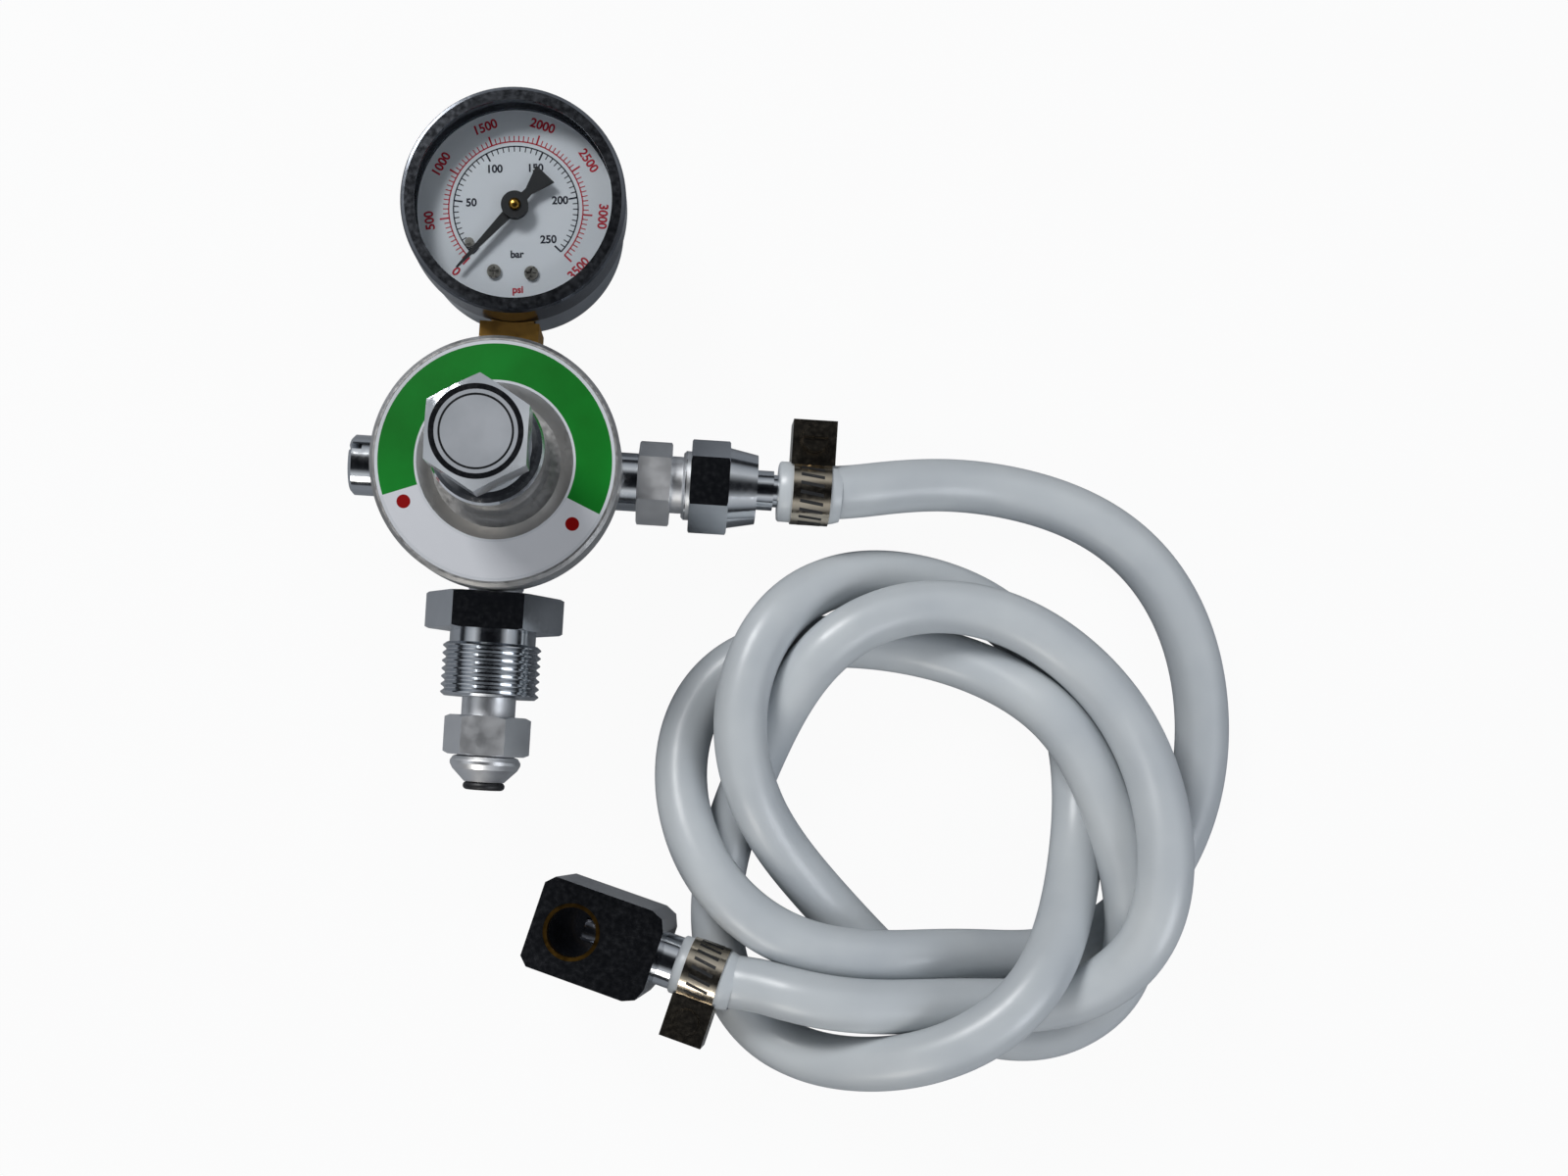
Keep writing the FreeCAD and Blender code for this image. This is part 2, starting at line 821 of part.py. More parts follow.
def makeGaugeWorks():
    height = s("portHeight")
    boss = s("gaugeBossEnd")
    start = s("portBoreStart") + s("freeGap")
    plug = cylinder(s("portBoreR") - s("fixedFit"), boss - start, at(0, start, height, "+Y"))
    square = block(
        s("socketAcross"), s("socketEnd") - boss, s("socketAcross"),
        0, (boss + s("socketEnd")) / 2, height - s("socketAcross") / 2,
    )
    inside = gaugeY - caseInnerR + s("socketBlockGap")
    neck = cylinder(s("socketNeckR"), inside - s("socketEnd"), at(0, s("socketEnd"), height, "+Y"))
    holder = block(
        s("socketBlock"), socketBlockEnd - inside, s("socketBlockHigh"),
        0, (inside + socketBlockEnd) / 2, height - s("socketBlockHigh") / 2,
    )
    bore = cylinder(s("drillingR"), socketBlockEnd - start - 3, at(0, start, height, "+Y"))
    keep("gauge_socket", cut(fuse([plug, square, neck, holder]), [bore]))

    tube = torus(s("bourdonR"), s("bourdonTubeR"), sweep=s("bourdonSweep"))
    place = FreeCAD.Placement(
        Vector(0, float(gaugeY), sizes["bourdonHeight"]),
        Rotation(Vector(0, 0, 1), sizes["bourdonStart"]),
    )
    keep("bourdon_tube", tube, place)

    reach = gaugeY + s("movementHubR")
    plate = block(
        s("movementWidth"), reach - socketBlockEnd, s("movementThick"),
        0, (socketBlockEnd + reach) / 2, s("movementBottom"),
    )
    hub = cylinder(
        s("movementHubR"), s("movementTop") - s("movementBottom"),
        at(0, gaugeY, s("movementBottom")),
    )
    bore = cylinder(
        s("movementBoreR"), s("movementTop") - s("movementBottom"),
        at(0, gaugeY, s("movementBottom")),
    )
    keep("gauge_movement", cut(fuse([plate, hub]), [bore]))


def makeInlet():
    height = s("portHeight")
    start = s("portBoreStart") + s("freeGap")
    bore = s("gasBoreR")
    boss = s("inletBossEnd") - start
    hexStart = s("noseHexStart") - start
    hexEnd = s("noseHexEnd") - start
    rollEnd = s("noseRollEnd") - start
    tip = s("noseTipStart") - start
    outline = [
        (bore, zero),
        (s("portBoreR") - s("fixedFit"), zero),
        (s("portBoreR") - s("fixedFit"), boss),
        (s("stemOuterR"), boss),
        (s("stemOuterR"), hexEnd),
        (s("noseConeR"), hexEnd + 0.4),
        (s("noseRollR"), hexEnd + 1.4),
        (s("noseRollR"), rollEnd - 1.2),
        (s("noseConeR"), rollEnd),
        (s("noseTipR"), tip),
        (s("noseSpigotR"), tip),
        (s("noseSpigotR"), s("noseEnd") - start),
        (bore, s("noseEnd") - start),
    ]
    stem = turned("Nipple", outline)
    across = hexSolid("NippleHexLand", s("noseHexAcross"), hexEnd - hexStart, s("noseHexLandR"))
    across.Placement = at(0, 0, hexStart)
    drilling = cylinder(bore, s("noseEnd") - start)
    keep("inlet_nipple", cut(fuse([stem, across]), [drilling]), at(0, start * -1, height, "-Y"))

    ringY = s("noseTipStart") + s("oringTubeR")
    keep("nose_oring", torus(s("oringR"), s("oringTubeR")), at(0, ringY * -1, height, "-Y"))

    filterStart = s("noseEnd") - 1 - s("filterLength")
    radius = bore - s("fixedFit")
    keep("inlet_filter", cylinder(radius, s("filterLength")), at(0, filterStart * -1, height, "-Y"))

    base = s("gasNutStart")
    hexLength = s("gasNutHexEnd") - base
    neckEnd = s("gasNutNeckEnd") - base
    threadEnd = s("gasThreadEnd") - base
    root = s("gasThreadR") - s("gasThreadDepth")
    outline = [
        (zero, zero),
        (s("gasNutNeckR"), zero),
        (s("gasNutNeckR"), neckEnd),
        (root, neckEnd),
    ]
    crests = round((sizes["gasThreadEnd"] - sizes["gasNutNeckEnd"]) / sizes["gasThreadPitch"])
    for crest in range(crests):
        foot = neckEnd + s("gasThreadPitch") * (crest + 0.02)
        outline.append((root, foot))
        outline.append((s("gasThreadR"), foot + s("gasThreadPitch") * 0.35))
        outline.append((s("gasThreadR"), foot + s("gasThreadPitch") * 0.5))
        outline.append((root, foot + s("gasThreadPitch") * 0.84))
    outline.append((root, threadEnd))
    outline.append((zero, threadEnd))
    barrel = turned("GasNut", outline)
    head = hexSolid("GasNutLand", s("gasNutAcross"), hexLength, s("gasNutLandR"))
    hole = cylinder(s("stemOuterR") + s("freeGap"), threadEnd)
    keep("gas_nut", cut(fuse([barrel, head]), [hole]), at(0, base * -1, height, "-Y"))


def makeOutlet():
    height = s("portHeight")
    start = s("portBoreStart") + s("freeGap")
    boss = s("outletBossEnd") - start
    hexEnd = s("adapterHexEnd") - start
    neckEnd = s("adapterNeckEnd") - start
    end = s("adapterEnd") - start
    outline = [
        (s("passageR"), zero),
        (s("portBoreR") - s("fixedFit"), zero),
        (s("portBoreR") - s("fixedFit"), boss),
        (s("adapterNeckR"), boss),
        (s("adapterNeckR"), neckEnd),
        (s("adapterThreadR") - 0.6, neckEnd),
        (s("adapterThreadR"), neckEnd + 0.6),
        (s("adapterThreadR"), end - 0.8),
        (s("adapterThreadR") - 0.8, end),
        (s("passageR") + 2, end),
        (s("passageR"), end - 2),
    ]
    stem = turned("Adapter", outline)
    head = hexSolid("AdapterLand", s("adapterAcross"), hexEnd - boss, s("adapterLandR"))
    head.Placement = at(0, 0, boss)
    drilling = cylinder(s("passageR"), end)
    keep("outlet_adapter", cut(fuse([stem, head]), [drilling]), at(start, 0, height, "+X"))

    base = s("unionStart")
    hexLength = s("unionHexEnd") - base
    end = s("unionEnd") - base
    outline = [
        (zero, zero),
        (s("unionConeR"), zero),
        (s("unionConeR") + 1.3, hexLength),
        (s("unionConeR"), end),
        (zero, end),
    ]
    barrel = turned("UnionNut", outline)
    head = hexSolid("UnionLand", s("unionAcross"), hexLength, s("unionLandR"))
    depth = s("unionFloor") - base
    holes = [
        cylinder(s("adapterThreadR") + s("fixedFit"), depth),
        cylinder(s("tailStemR") + s("fixedFit"), end),
    ]
    keep("union_nut", cut(fuse([barrel, head]), holes), at(base, 0, height, "+X"))

    first = s("adapterEnd") + s("fixedFit")
    floor = s("unionFloor") - s("fixedFit") - first
    collar = s("tailCollarEnd") - first
    faceEnd = s("hoseStart") - s("fixedFit") - first
    barbEnd = s("hoseStart") + s("barbLength") - first
    outline = [
        (asSize(1.6), zero),
        (s("tailHeadR"), zero),
        (s("tailHeadR"), floor),
        (s("tailStemR"), floor),
        (s("tailStemR"), collar),
        (s("tailGrooveR"), collar),
        (s("tailGrooveR"), faceEnd),
        (s("barbR"), faceEnd),
        (s("barbR"), barbEnd - 1),
        (s("barbR") - 0.6, barbEnd),
        (asSize(1.6), barbEnd),
    ]
    keep("hose_tail", turned("HoseTail", outline), at(first, 0, height, "+X"))


def makeClamp(side, frame):
    # In its own frame the hose runs along X and the worm stands along Z on the +Y side.
    along = FreeCAD.Placement(Vector(-sizes["bandWidth"] / 2, 0, 0), ways["+X"])
    ring = cut(
        cylinder(s("bandR"), s("bandWidth"), along),
        [cylinder(s("hoseSwellR") + s("fixedFit"), s("bandWidth"), along)],
    )
    keep("clamp_band_" + side, ring, frame)

    deep = s("housingReach") - s("housingRoot")
    middle = s("housingRoot") + deep / 2
    box = block(s("housingWidth"), deep, s("housingHeight"), 0, middle, s("housingHeight") / -2)
    wide = FreeCAD.Placement(Vector(-sizes["housingWidth"], 0, 0), ways["+X"])
    saddle = cylinder(s("bandR") + s("fixedFit"), s("housingWidth") * 2, wide)
    bore = cylinder(
        s("wormR") + s("fixedFit"), s("housingHeight"),
        at(0, s("wormReach"), s("housingHeight") / -2),
    )
    keep("clamp_housing_" + side, cut(box, [saddle, bore]), frame)

    long = s("wormBottom") + s("wormTop")
    foot = s("wormBottom") * -1
    worm = cylinder(s("wormR"), long, at(0, s("wormReach"), foot))
    slot = block(
        s("wormR") * 2.2, s("slotWidth"), s("slotDepth"),
        0, s("wormReach"), s("wormTop") - s("slotDepth"),
    )
    keep("clamp_screw_" + side, cut(worm, [slot]), frame)


# The far block's own frame: X to its hose, Z up through its port, tilted off the floor.
blockTurn = Rotation(Vector(0, 0, 1), sizes["blockYaw"]) * Rotation(Vector(0, 1, 0), -sizes["blockTilt"])
tilt = math.radians(sizes["blockTilt"])
blockRise = (sizes["blockHeight"] * math.cos(tilt) + sizes["blockLength"] * math.sin(tilt)) / 2
blockPlace = FreeCAD.Placement(Vector(sizes["blockX"], sizes["blockY"], blockRise), blockTurn)


def makeConnectorBlock():
    half = s("blockLength") / 2
    side = s("blockWidth") / 2
    bevel = s("blockCorner")
    round1 = bevel * 0.3
    outline = [
        (half * -1, (side - bevel * 0.5) * -1),
        (half * -1 + bevel * 0.5, side * -1),
        (half - bevel, side * -1),
        (half - round1, (side - round1) * -1),
        (half, (side - bevel) * -1),
        (half, side - bevel),
        (half - round1, side - round1),
        (half - bevel, side),
        (half * -1 + bevel * 0.5, side),
        (half * -1, side - bevel * 0.5),
    ]
    solid = padded("ConnectorBlock", outline, s("blockHeight"))
    low = s("blockHeight") / -2
    solid.Placement = at(0, 0, low)
    top = s("blockHeight") / 2
    portX = s("blockPortX")
    ringR = s("blockPortR") + s("ringWall")
    hollows = [
        cylinder(s("blockPortR"), s("blockPortDepth"), at(portX, 0, top - s("blockPortDepth"))),
        cylinder(ringR + s("fixedFit"), s("ringDepth"), at(portX, 0, top - s("ringDepth"))),
        cylinder(s("blockBoreR"), half - portX, at(portX, 0, 0, "+X")),
    ]
    keep("connector_block", cut(solid, hollows), blockPlace)

    outer = cylinder(ringR, s("ringDepth"), at(portX, 0, top - s("ringDepth")))
    inner = cylinder(s("blockPortR"), s("ringDepth"), at(portX, 0, top - s("ringDepth")))
    keep("port_ring", cut(outer, [inner]), blockPlace)

    plug = asSize(8)
    neckEnd = plug + s("blockNeck")
    barbEnd = neckEnd + s("barbLength")
    outline = [
        (asSize(1.6), zero),
        (s("blockBoreR") - s("fixedFit"), zero),
        (s("blockBoreR") - s("fixedFit"), plug),
        (s("blockNeckR"), plug),
        (s("blockNeckR"), neckEnd),
        (s("barbR"), neckEnd),
        (s("barbR"), barbEnd - 1),
        (s("barbR") - 0.6, barbEnd),
        (asSize(1.6), barbEnd),
    ]
    spot = blockPlace * at(half - plug, 0, 0, "+X")
    keep("block_tail", turned("BlockTail", outline), spot)


def tubeAlong(points, radius):
    # A round tube on straight runs that are joined by arcs touching them.
    corners = [Vector(*point) for point in points]
    edges = []
    start = corners[0]
    radii = []
    for index in range(1, len(corners) - 1):
        before = corners[index - 1] - corners[index]
        after = corners[index + 1] - corners[index]
        reach = 0.45 * min(before.Length, after.Length)
        turn = math.pi - before.getAngle(after)
        radii.append(reach / math.tan(turn / 2))
        inward = Vector(before).normalize()
        outward = Vector(after).normalize()
        enter = corners[index] + inward * reach
        leave = corners[index] + outward * reach
        bisector = (inward + outward).normalize()
        toCentre = radii[-1] / math.cos(turn / 2)
        middle = corners[index] + bisector * (toCentre - radii[-1])
        edges.append(Part.LineSegment(start, enter).toShape())
        edges.append(Part.Arc(enter, middle, leave).toShape())
        start = leave
    edges.append(Part.LineSegment(start, corners[-1]).toShape())
    path = Part.Wire(edges)
    heading = (corners[1] - corners[0]).normalize()
    ring = Part.Wire([Part.Circle(corners[0], heading, radius).toShape()])
    tube = path.makePipeShell([ring], True, False)
    print("bend radii", [round(value, 1) for value in radii], "length", round(path.Length, 1))
    print("tube volume", round(tube.Volume), "section by length", round(math.pi * radius ** 2 * path.Length))
    return tube


# The lead from the outlet to the coil, as seen in the photograph.
leadRoute = [
    (sizes["hoseStart"], 0, sizes["portHeight"]),
    (91.0, 0, 17.0),
    (121.0, 3.5, 10.2),
    (152.0, -10.5, 6.3),
    (169.5, -41.5, 6.3),
    (167.5, -76.5, 6.3),
    (150.0, -105.5, 6.3),
]


def makeHose():
    outer = tubeAlong(leadRoute, sizes["hoseR"])
    inner = tubeAlong(leadRoute, sizes["hoseBoreR"])
    swell = Part.makeCylinder(
        sizes["hoseSwellR"], sizes["hoseSwellLength"], Vector(*leadRoute[0]), Vector(1, 0, 0)
    )
    taperStart = Vector(*leadRoute[0]) + Vector(sizes["hoseSwellLength"], 0, 0)
    taper = Part.makeCone(
        sizes["hoseSwellR"], sizes["hoseR"], sizes["hoseSwellTaper"], taperStart, Vector(1, 0, 0)
    )
    lead = doc.addObject("Part::Feature", "HoseLead")
    lead.Shape = outer.fuse([swell, taper]).cut(inner)
    lead.Placement = FreeCAD.Placement()
    keep("hose_lead", lead)

    edge = s("coilEdge")
    outline = [
        (s("coilInnerR") + edge, zero),
        (s("coilOuterR") - edge, zero),
        (s("coilOuterR"), edge),
        (s("coilOuterR"), s("coilHeight") - edge),
        (s("coilOuterR") - edge, s("coilHeight")),
        (s("coilInnerR") + edge, s("coilHeight")),
        (s("coilInnerR"), s("coilHeight") - edge),
        (s("coilInnerR"), edge),
    ]
    ring = turned("HoseCoil", outline)
    ring.Placement = at(s("coilX"), s("coilY"), 0)
    tailFace = s("blockLength") / 2 + s("blockNeck")
    endFace = tailFace + s("hoseEndLength")
    notch = block(100, s("notchWidth"), 90, endFace - 50, 0, -45)
    notch.Placement = blockPlace * notch.Placement
    keep("hose_coil", cut(ring, [notch]))

    face = s("hoseEndLength") - s("hoseSwellTaper")
    tube = [
        cylinder(s("hoseSwellR"), face),
        cone(s("hoseSwellR"), s("hoseR"), s("hoseSwellTaper"), at(0, 0, face)),
    ]
    bore = cylinder(s("hoseBoreR"), s("hoseEndLength"))
    spot = blockPlace * at(tailFace, 0, 0, "+X")
    keep("hose_end", cut(fuse(tube), [bore]), spot)


def makeRelief():
    height = s("portHeight")
    base = s("reliefBossEnd")
    end = s("reliefCapEnd") - base
    edge = s("reliefCapEdge")
    skirt = s("reliefSkirt")
    floor = s("reliefFloor")
    inner = s("portBoreR") - s("fixedFit")
    outline = [
        (inner - 1, skirt * -1),
        (inner, skirt * -1),
        (inner, zero),
        (s("reliefCapR"), zero),
        (s("reliefCapR"), end - edge),
        (s("reliefCapR") - edge, end),
        (zero, end),
        (zero, end - floor),
        (inner - 1, end - floor),
    ]
    cap = turned("ReliefCap", outline)
    depth = s("reliefSlotDepth")
    slot = block(s("reliefCapR") * 2.2, s("reliefSlot"), depth, 0, 0, end - depth)
    keep("relief_cap", cut(cap, [slot]), at(base * -1, 0, height, "-X"))

    seat = s("reliefSeat") + s("fixedFit")
    length = s("reliefPoppetEnd") - seat
    outline = [
        (zero, zero),
        (s("reliefPoppetR"), zero),
        (s("reliefPoppetR"), length),
        (asSize(1.6), length),
        (asSize(1.6), length + 1),
        (zero, length + 1),
    ]
    keep("relief_poppet", turned("ReliefPoppet", outline), at(seat * -1, 0, height, "-X"))

    far = s("reliefCapEnd") - floor
    coil = spring(s("reliefSpringR"), s("reliefWireR"), s("reliefPoppetEnd") + 0.05, far - 0.05, 5)
    keep("relief_spring", coil, at(0, 0, height, "-X"))


makeBody()
makeBackPlug()
makeValve()
makeDiaphragm()
makeBonnet()
makeKnob()
makeGaugeShell()
makeGaugeFace()
makePointer()
makeGaugeWorks()
makeInlet()
makeOutlet()
makeClamp("upper", FreeCAD.Placement(
    Vector(sizes["clampCentre"], 0, sizes["portHeight"]), Rotation()
))
lowerMiddle = sizes["blockLength"] / 2 + sizes["blockNeck"] + sizes["hoseEndLength"] / 2 - 0.4
makeClamp("lower", blockPlace * FreeCAD.Placement(
    Vector(lowerMiddle, 0, 0), Rotation(Vector(1, 0, 0), 180)
))
makeConnectorBlock()
makeHose()
makeRelief()
doc.recompute()

for item in doc.Objects:
    if "Invalid" in item.State or "Error" in item.State:
        raise RuntimeError("%s %s is in state %s" % (item.Name, item.Label, item.State))
for label, item in parts:
    shape = item.Shape
    if shape.isNull() or not shape.isValid() or shape.Volume < 0.01:
        raise RuntimeError(label + " has no valid shape")
    shape.exportStep("parts/%s.step" % label)
portMouth = blockPlace.multVec(Vector(sizes["blockPortX"], 0, sizes["blockHeight"] / 2))
portAxis = blockTurn.multVec(Vector(0, 0, 1))
print("parts", len(parts))
print("block port", [round(v / 1000, 6) for v in portMouth], [round(v, 6) for v in portAxis])
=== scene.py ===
import bpy
import math
import numpy as np
from mathutils import Vector, Matrix


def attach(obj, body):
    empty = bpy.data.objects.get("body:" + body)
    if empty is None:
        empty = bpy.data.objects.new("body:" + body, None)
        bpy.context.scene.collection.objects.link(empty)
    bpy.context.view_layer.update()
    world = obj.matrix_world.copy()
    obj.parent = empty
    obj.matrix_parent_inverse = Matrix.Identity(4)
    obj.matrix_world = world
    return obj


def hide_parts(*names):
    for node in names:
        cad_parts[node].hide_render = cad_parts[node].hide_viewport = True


# The regulator, its hose and its block, as the photograph shows them from above.
# Settings are in millimetres and degrees where nothing else is said, and mm turns them into metres.

mm = 0.001
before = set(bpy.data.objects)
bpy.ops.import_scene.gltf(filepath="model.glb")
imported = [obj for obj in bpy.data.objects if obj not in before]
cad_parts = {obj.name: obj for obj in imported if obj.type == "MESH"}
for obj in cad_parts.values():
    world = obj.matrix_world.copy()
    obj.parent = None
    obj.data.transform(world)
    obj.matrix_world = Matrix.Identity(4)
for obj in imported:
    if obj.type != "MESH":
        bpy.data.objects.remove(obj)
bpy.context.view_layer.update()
rootBody = "regulator"


def boxOf(name):
    # Lowest and highest corner of a CAD node, in millimetres.
    spots = np.array([tuple(vertex.co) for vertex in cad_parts[name].data.vertices]) / mm
    return spots.min(axis=0), spots.max(axis=0)


def linear(hexColour):
    # Each channel of an sRGB colour turned back to linear light.
    parts = [int(hexColour[i:i + 2], 16) / 255 for i in (1, 3, 5)]
    turned = [c / 12.92 if c <= 0.04045 else ((c + 0.055) / 1.055) ** 2.4 for c in parts]
    return (*turned, 1.0)


cameraSettings = {
    "place": (44.3, -60.7, 420.0),  # straight above a point between the regulator and the hose
    "roll": 3.6,  # the regulator lies turned by this much in the photograph
    "lens": 39.52,
    "sensor": 36.0,
    "shift": (0.069, 0.1),  # in widths of the picture
    "nearest": 10.0,
}
cameraData = bpy.data.cameras.new("camera")
cameraData.lens = cameraSettings["lens"]
cameraData.sensor_width = cameraSettings["sensor"]
cameraData.shift_x, cameraData.shift_y = cameraSettings["shift"]
cameraData.clip_start = cameraSettings["nearest"] * mm
camera = bpy.data.objects.new("camera", cameraData)
camera.location = Vector(cameraSettings["place"]) * mm
camera.rotation_euler = (0, 0, math.radians(cameraSettings["roll"]))
bpy.context.collection.objects.link(camera)
bpy.context.scene.camera = camera
print("camera")


# Nodes and patterns

def newMaterial(name):
    material = bpy.data.materials.new(name)
    material.use_nodes = True
    material.node_tree.nodes.clear()
    return material


def addNode(owner, kind, inputs=None, output=0, **settings):
    # One node with its settings and links. It gives the output that the next node reads.
    tree = owner.node_tree
    made = tree.nodes.new("ShaderNode" + kind)
    for key, value in settings.items():
        setattr(made, key, value)
    for key, value in (inputs or {}).items():
        if isinstance(value, bpy.types.NodeSocket):
            tree.links.new(value, made.inputs[key])
        else:
            made.inputs[key].default_value = value
    return made.outputs[output] if made.outputs else made


noiseSpan = (0.3, 0.7)  # noise seldom leaves this span, so the span is what gets stretched


def speckle(material, size, detail, low, high):
    # Noise on Object coordinates with specks of about this size, bare and stretched between two values.
    where = addNode(material, "TexCoord", output="Object")
    noise = addNode(material, "TexNoise", {"Vector": where, "Scale": 1 / (size * mm), "Detail": detail})
    span = {0: noise, 1: noiseSpan[0], 2: noiseSpan[1], 3: low, 4: high}
    return noise, addNode(material, "MapRange", span)


def printed(material, colour, layers):
    # Each layer's colour is laid over those before it, where its share is 1.
    # The Mix node's two colours are its inputs 6 and 7, and the mixed one is its output 2.
    for share, ink in layers:
        inputs = {"Factor": share, 6: colour, 7: linear(ink)}
        colour = addNode(material, "Mix", inputs, 2, data_type="RGBA")
    return colour


def mottle(material, size, first, second):
    # Two close colours that drift into each other in clouds of about this size.
    share = speckle(material, size, detail=3.0, low=0.0, high=1.0)[1]
    return printed(material, linear(first), [(share, second)])


def finish(material, shades, grain, detail, rough, spread, strength, depth):
    # The shader itself. A fine grain roughens it in places and raises its skin by a hair.
    noise, roughness = speckle(material, grain, detail, rough, rough + spread)
    relief = addNode(material, "Bump", {"Height": noise, "Strength": strength, "Distance": depth * mm})
    shader = addNode(material, "BsdfPrincipled", {**shades, "Roughness": roughness, "Normal": relief})
    addNode(material, "OutputMaterial", {0: shader})
    return material


# Finishes. The real grain of plating, paint and rubber is far too fine to show from this far,
# so each is drawn in specks of one to three millimetres.

grainSettings = {
    "plated": 1.11,
    "brushed": 3.33,
    "moulded": 2.5,
    "foil": 1.43,
    "metalCloud": 16.67,
    "skinCloud": 22.2,
    "inkCloud": 12.5,
    "badgeCloud": 8.33,
    "glassCloud": 14.3,
    "paperCloud": 33.3,
}


def metal(name, colour, worn, rough, spread=0.08, grain="plated", strength=0.05):
    material = newMaterial(name)
    tint = mottle(material, grainSettings["metalCloud"], colour, worn)
    shades = {"Base Color": tint, "Metallic": 1.0}
    return finish(
        material, shades, grain=grainSettings[grain], detail=5.0,
        rough=rough, spread=spread, strength=strength, depth=0.05,
    )


def matteSkin(name, colour, shade, rough, coat=0.0):
    material = newMaterial(name)
    tint = mottle(material, grainSettings["skinCloud"], colour, shade)
    shades = {"Base Color": tint, "Coat Weight": coat, "Coat Roughness": 0.25}
    return finish(
        material, shades, grain=grainSettings["moulded"], detail=6.0,
        rough=rough, spread=0.12, strength=0.12, depth=0.1,
    )


def flatPlace(material):
    # Object coordinates with their height taken out, for prints that are drawn from above.
    where = addNode(material, "TexCoord", output="Object")
    return addNode(material, "VectorMath", {0: where, 1: (1, 1, 0)}, operation="MULTIPLY")


labelSettings = {
    "silverMiddle": -91.5,
    "silverHalf": 68.0,
    "inner": 18.1,
    "outer": 26.2,
    "dotAngles": (207.5, -35.6),
    "dotReach": 22.3,
    "dotRadius": 1.55,
    "foil": 0.15,  # how metallic the silver part is
}


def labelMaterial():
    # Printed foil: green through the top, silver below, fine silver edges and two red dots.
    material = newMaterial("label")
    flat = flatPlace(material)
    x, y = addNode(material, "SeparateXYZ", {0: flat}).node.outputs[:2]
    angle = addNode(material, "Math", {0: y, 1: x}, operation="ARCTAN2")
    middle = math.radians(labelSettings["silverMiddle"])
    half = math.radians(labelSettings["silverHalf"])
    turned = addNode(material, "Math", {0: angle, 1: middle}, operation="SUBTRACT")
    away = addNode(material, "Math", {0: turned}, operation="ABSOLUTE")
    silver = addNode(material, "Math", {0: away, 1: half}, operation="LESS_THAN")
    reach = addNode(material, "VectorMath", {0: flat}, "Value", operation="LENGTH")
    outer = labelSettings["outer"] * mm
    inner = labelSettings["inner"] * mm
    outside = addNode(material, "Math", {0: reach, 1: outer}, operation="GREATER_THAN")
    inside = addNode(material, "Math", {0: reach, 1: inner}, operation="LESS_THAN")
    edge = addNode(material, "Math", {0: outside, 1: inside}, operation="MAXIMUM")
    layers = [(silver, "#d3d5da"), (edge, "#c9ccd1")]
    for degrees in labelSettings["dotAngles"]:
        turn = math.radians(degrees)
        spot = Vector((math.cos(turn), math.sin(turn), 0)) * labelSettings["dotReach"] * mm
        toDot = addNode(material, "VectorMath", {0: flat, 1: spot}, "Value", operation="DISTANCE")
        dotInputs = {0: toDot, 1: labelSettings["dotRadius"] * mm}
        layers.append((addNode(material, "Math", dotInputs, operation="LESS_THAN"), "#8b0000"))
    green = mottle(material, grainSettings["inkCloud"], "#0a6a1a", "#0d7a24")
    foil = addNode(material, "Math", {0: silver, 1: labelSettings["foil"]}, operation="MULTIPLY")
    shades = {"Base Color": printed(material, green, layers), "Metallic": foil}
    return finish(
        material, shades, grain=grainSettings["foil"], detail=3.0,
        rough=0.3, spread=0.0, strength=0.05, depth=0.05,
    )


badgeSettings = {"ringInner": 7.3, "ringOuter": 7.75}


def badgeMaterial():
    # Domed resin over grey foil, with one fine dark ring near its edge.
    material = newMaterial("badge")
    reach = addNode(material, "VectorMath", {0: flatPlace(material)}, "Value", operation="LENGTH")
    low = {0: reach, 1: badgeSettings["ringInner"] * mm}
    high = {0: reach, 1: badgeSettings["ringOuter"] * mm}
    past = addNode(material, "Math", low, operation="GREATER_THAN")
    before = addNode(material, "Math", high, operation="LESS_THAN")
    ring = addNode(material, "Math", {0: past, 1: before}, operation="MULTIPLY")
    plain = mottle(material, grainSettings["badgeCloud"], "#a9adb3", "#b9bdc3")
    shades = {"Base Color": printed(material, plain, [(ring, "#15171a")]), "Metallic": 0.4}
    return finish(
        material, shades, grain=grainSettings["plated"], detail=3.0,
        rough=0.35, spread=0.0, strength=0.06, depth=0.05,
    )


def windowMaterial():
    # Thin moulded polycarbonate: clear, with a weak mirror that grows at a slant.
    material = newMaterial("window")
    clear = addNode(material, "BsdfTransparent", {"Color": (0.97, 0.98, 0.985, 1)})
    film = speckle(material, grainSettings["glassCloud"], detail=3.0, low=0.02, high=0.05)[1]
    shine = addNode(material, "BsdfGlossy", {"Roughness": film})
    facing = addNode(material, "Fresnel", {"IOR": 1.3})
    blend = addNode(material, "MixShader", {0: facing, 1: clear, 2: shine})
    addNode(material, "OutputMaterial", {0: blend})
    return material


chrome = metal("chrome", "#d9dce0", "#c6cacf", 0.07, 0.09)  # bright plating: mirrors the room in bands
satinChrome = metal("satin_chrome", "#dcdcdc", "#cbc9c6", 0.3, 0.14, strength=0.1)  # blasted: a soft sheen
brushedChrome = metal("brushed_chrome", "#f0f1f3", "#e2e4e7", 0.34, 0.1, "brushed", 0.02)  # turned: pale
smokedChrome = metal("smoked_chrome", "#a3a5aa", "#85878c", 0.1, 0.1)  # thin black plating: a dark mirror
darkChrome = metal("dark_chrome", "#7b7f86", "#5e6167", 0.16, 0.1)  # gunmetal plating: dark, a little dull
brass = metal("brass", "#d0a254", "#94703a", 0.42, 0.2, strength=0.15)  # machined brass gone dull
oldBrass = metal("old_brass", "#57401a", "#2a1f0f", 0.3, 0.2, strength=0.15)  # tarnished: nearly brown
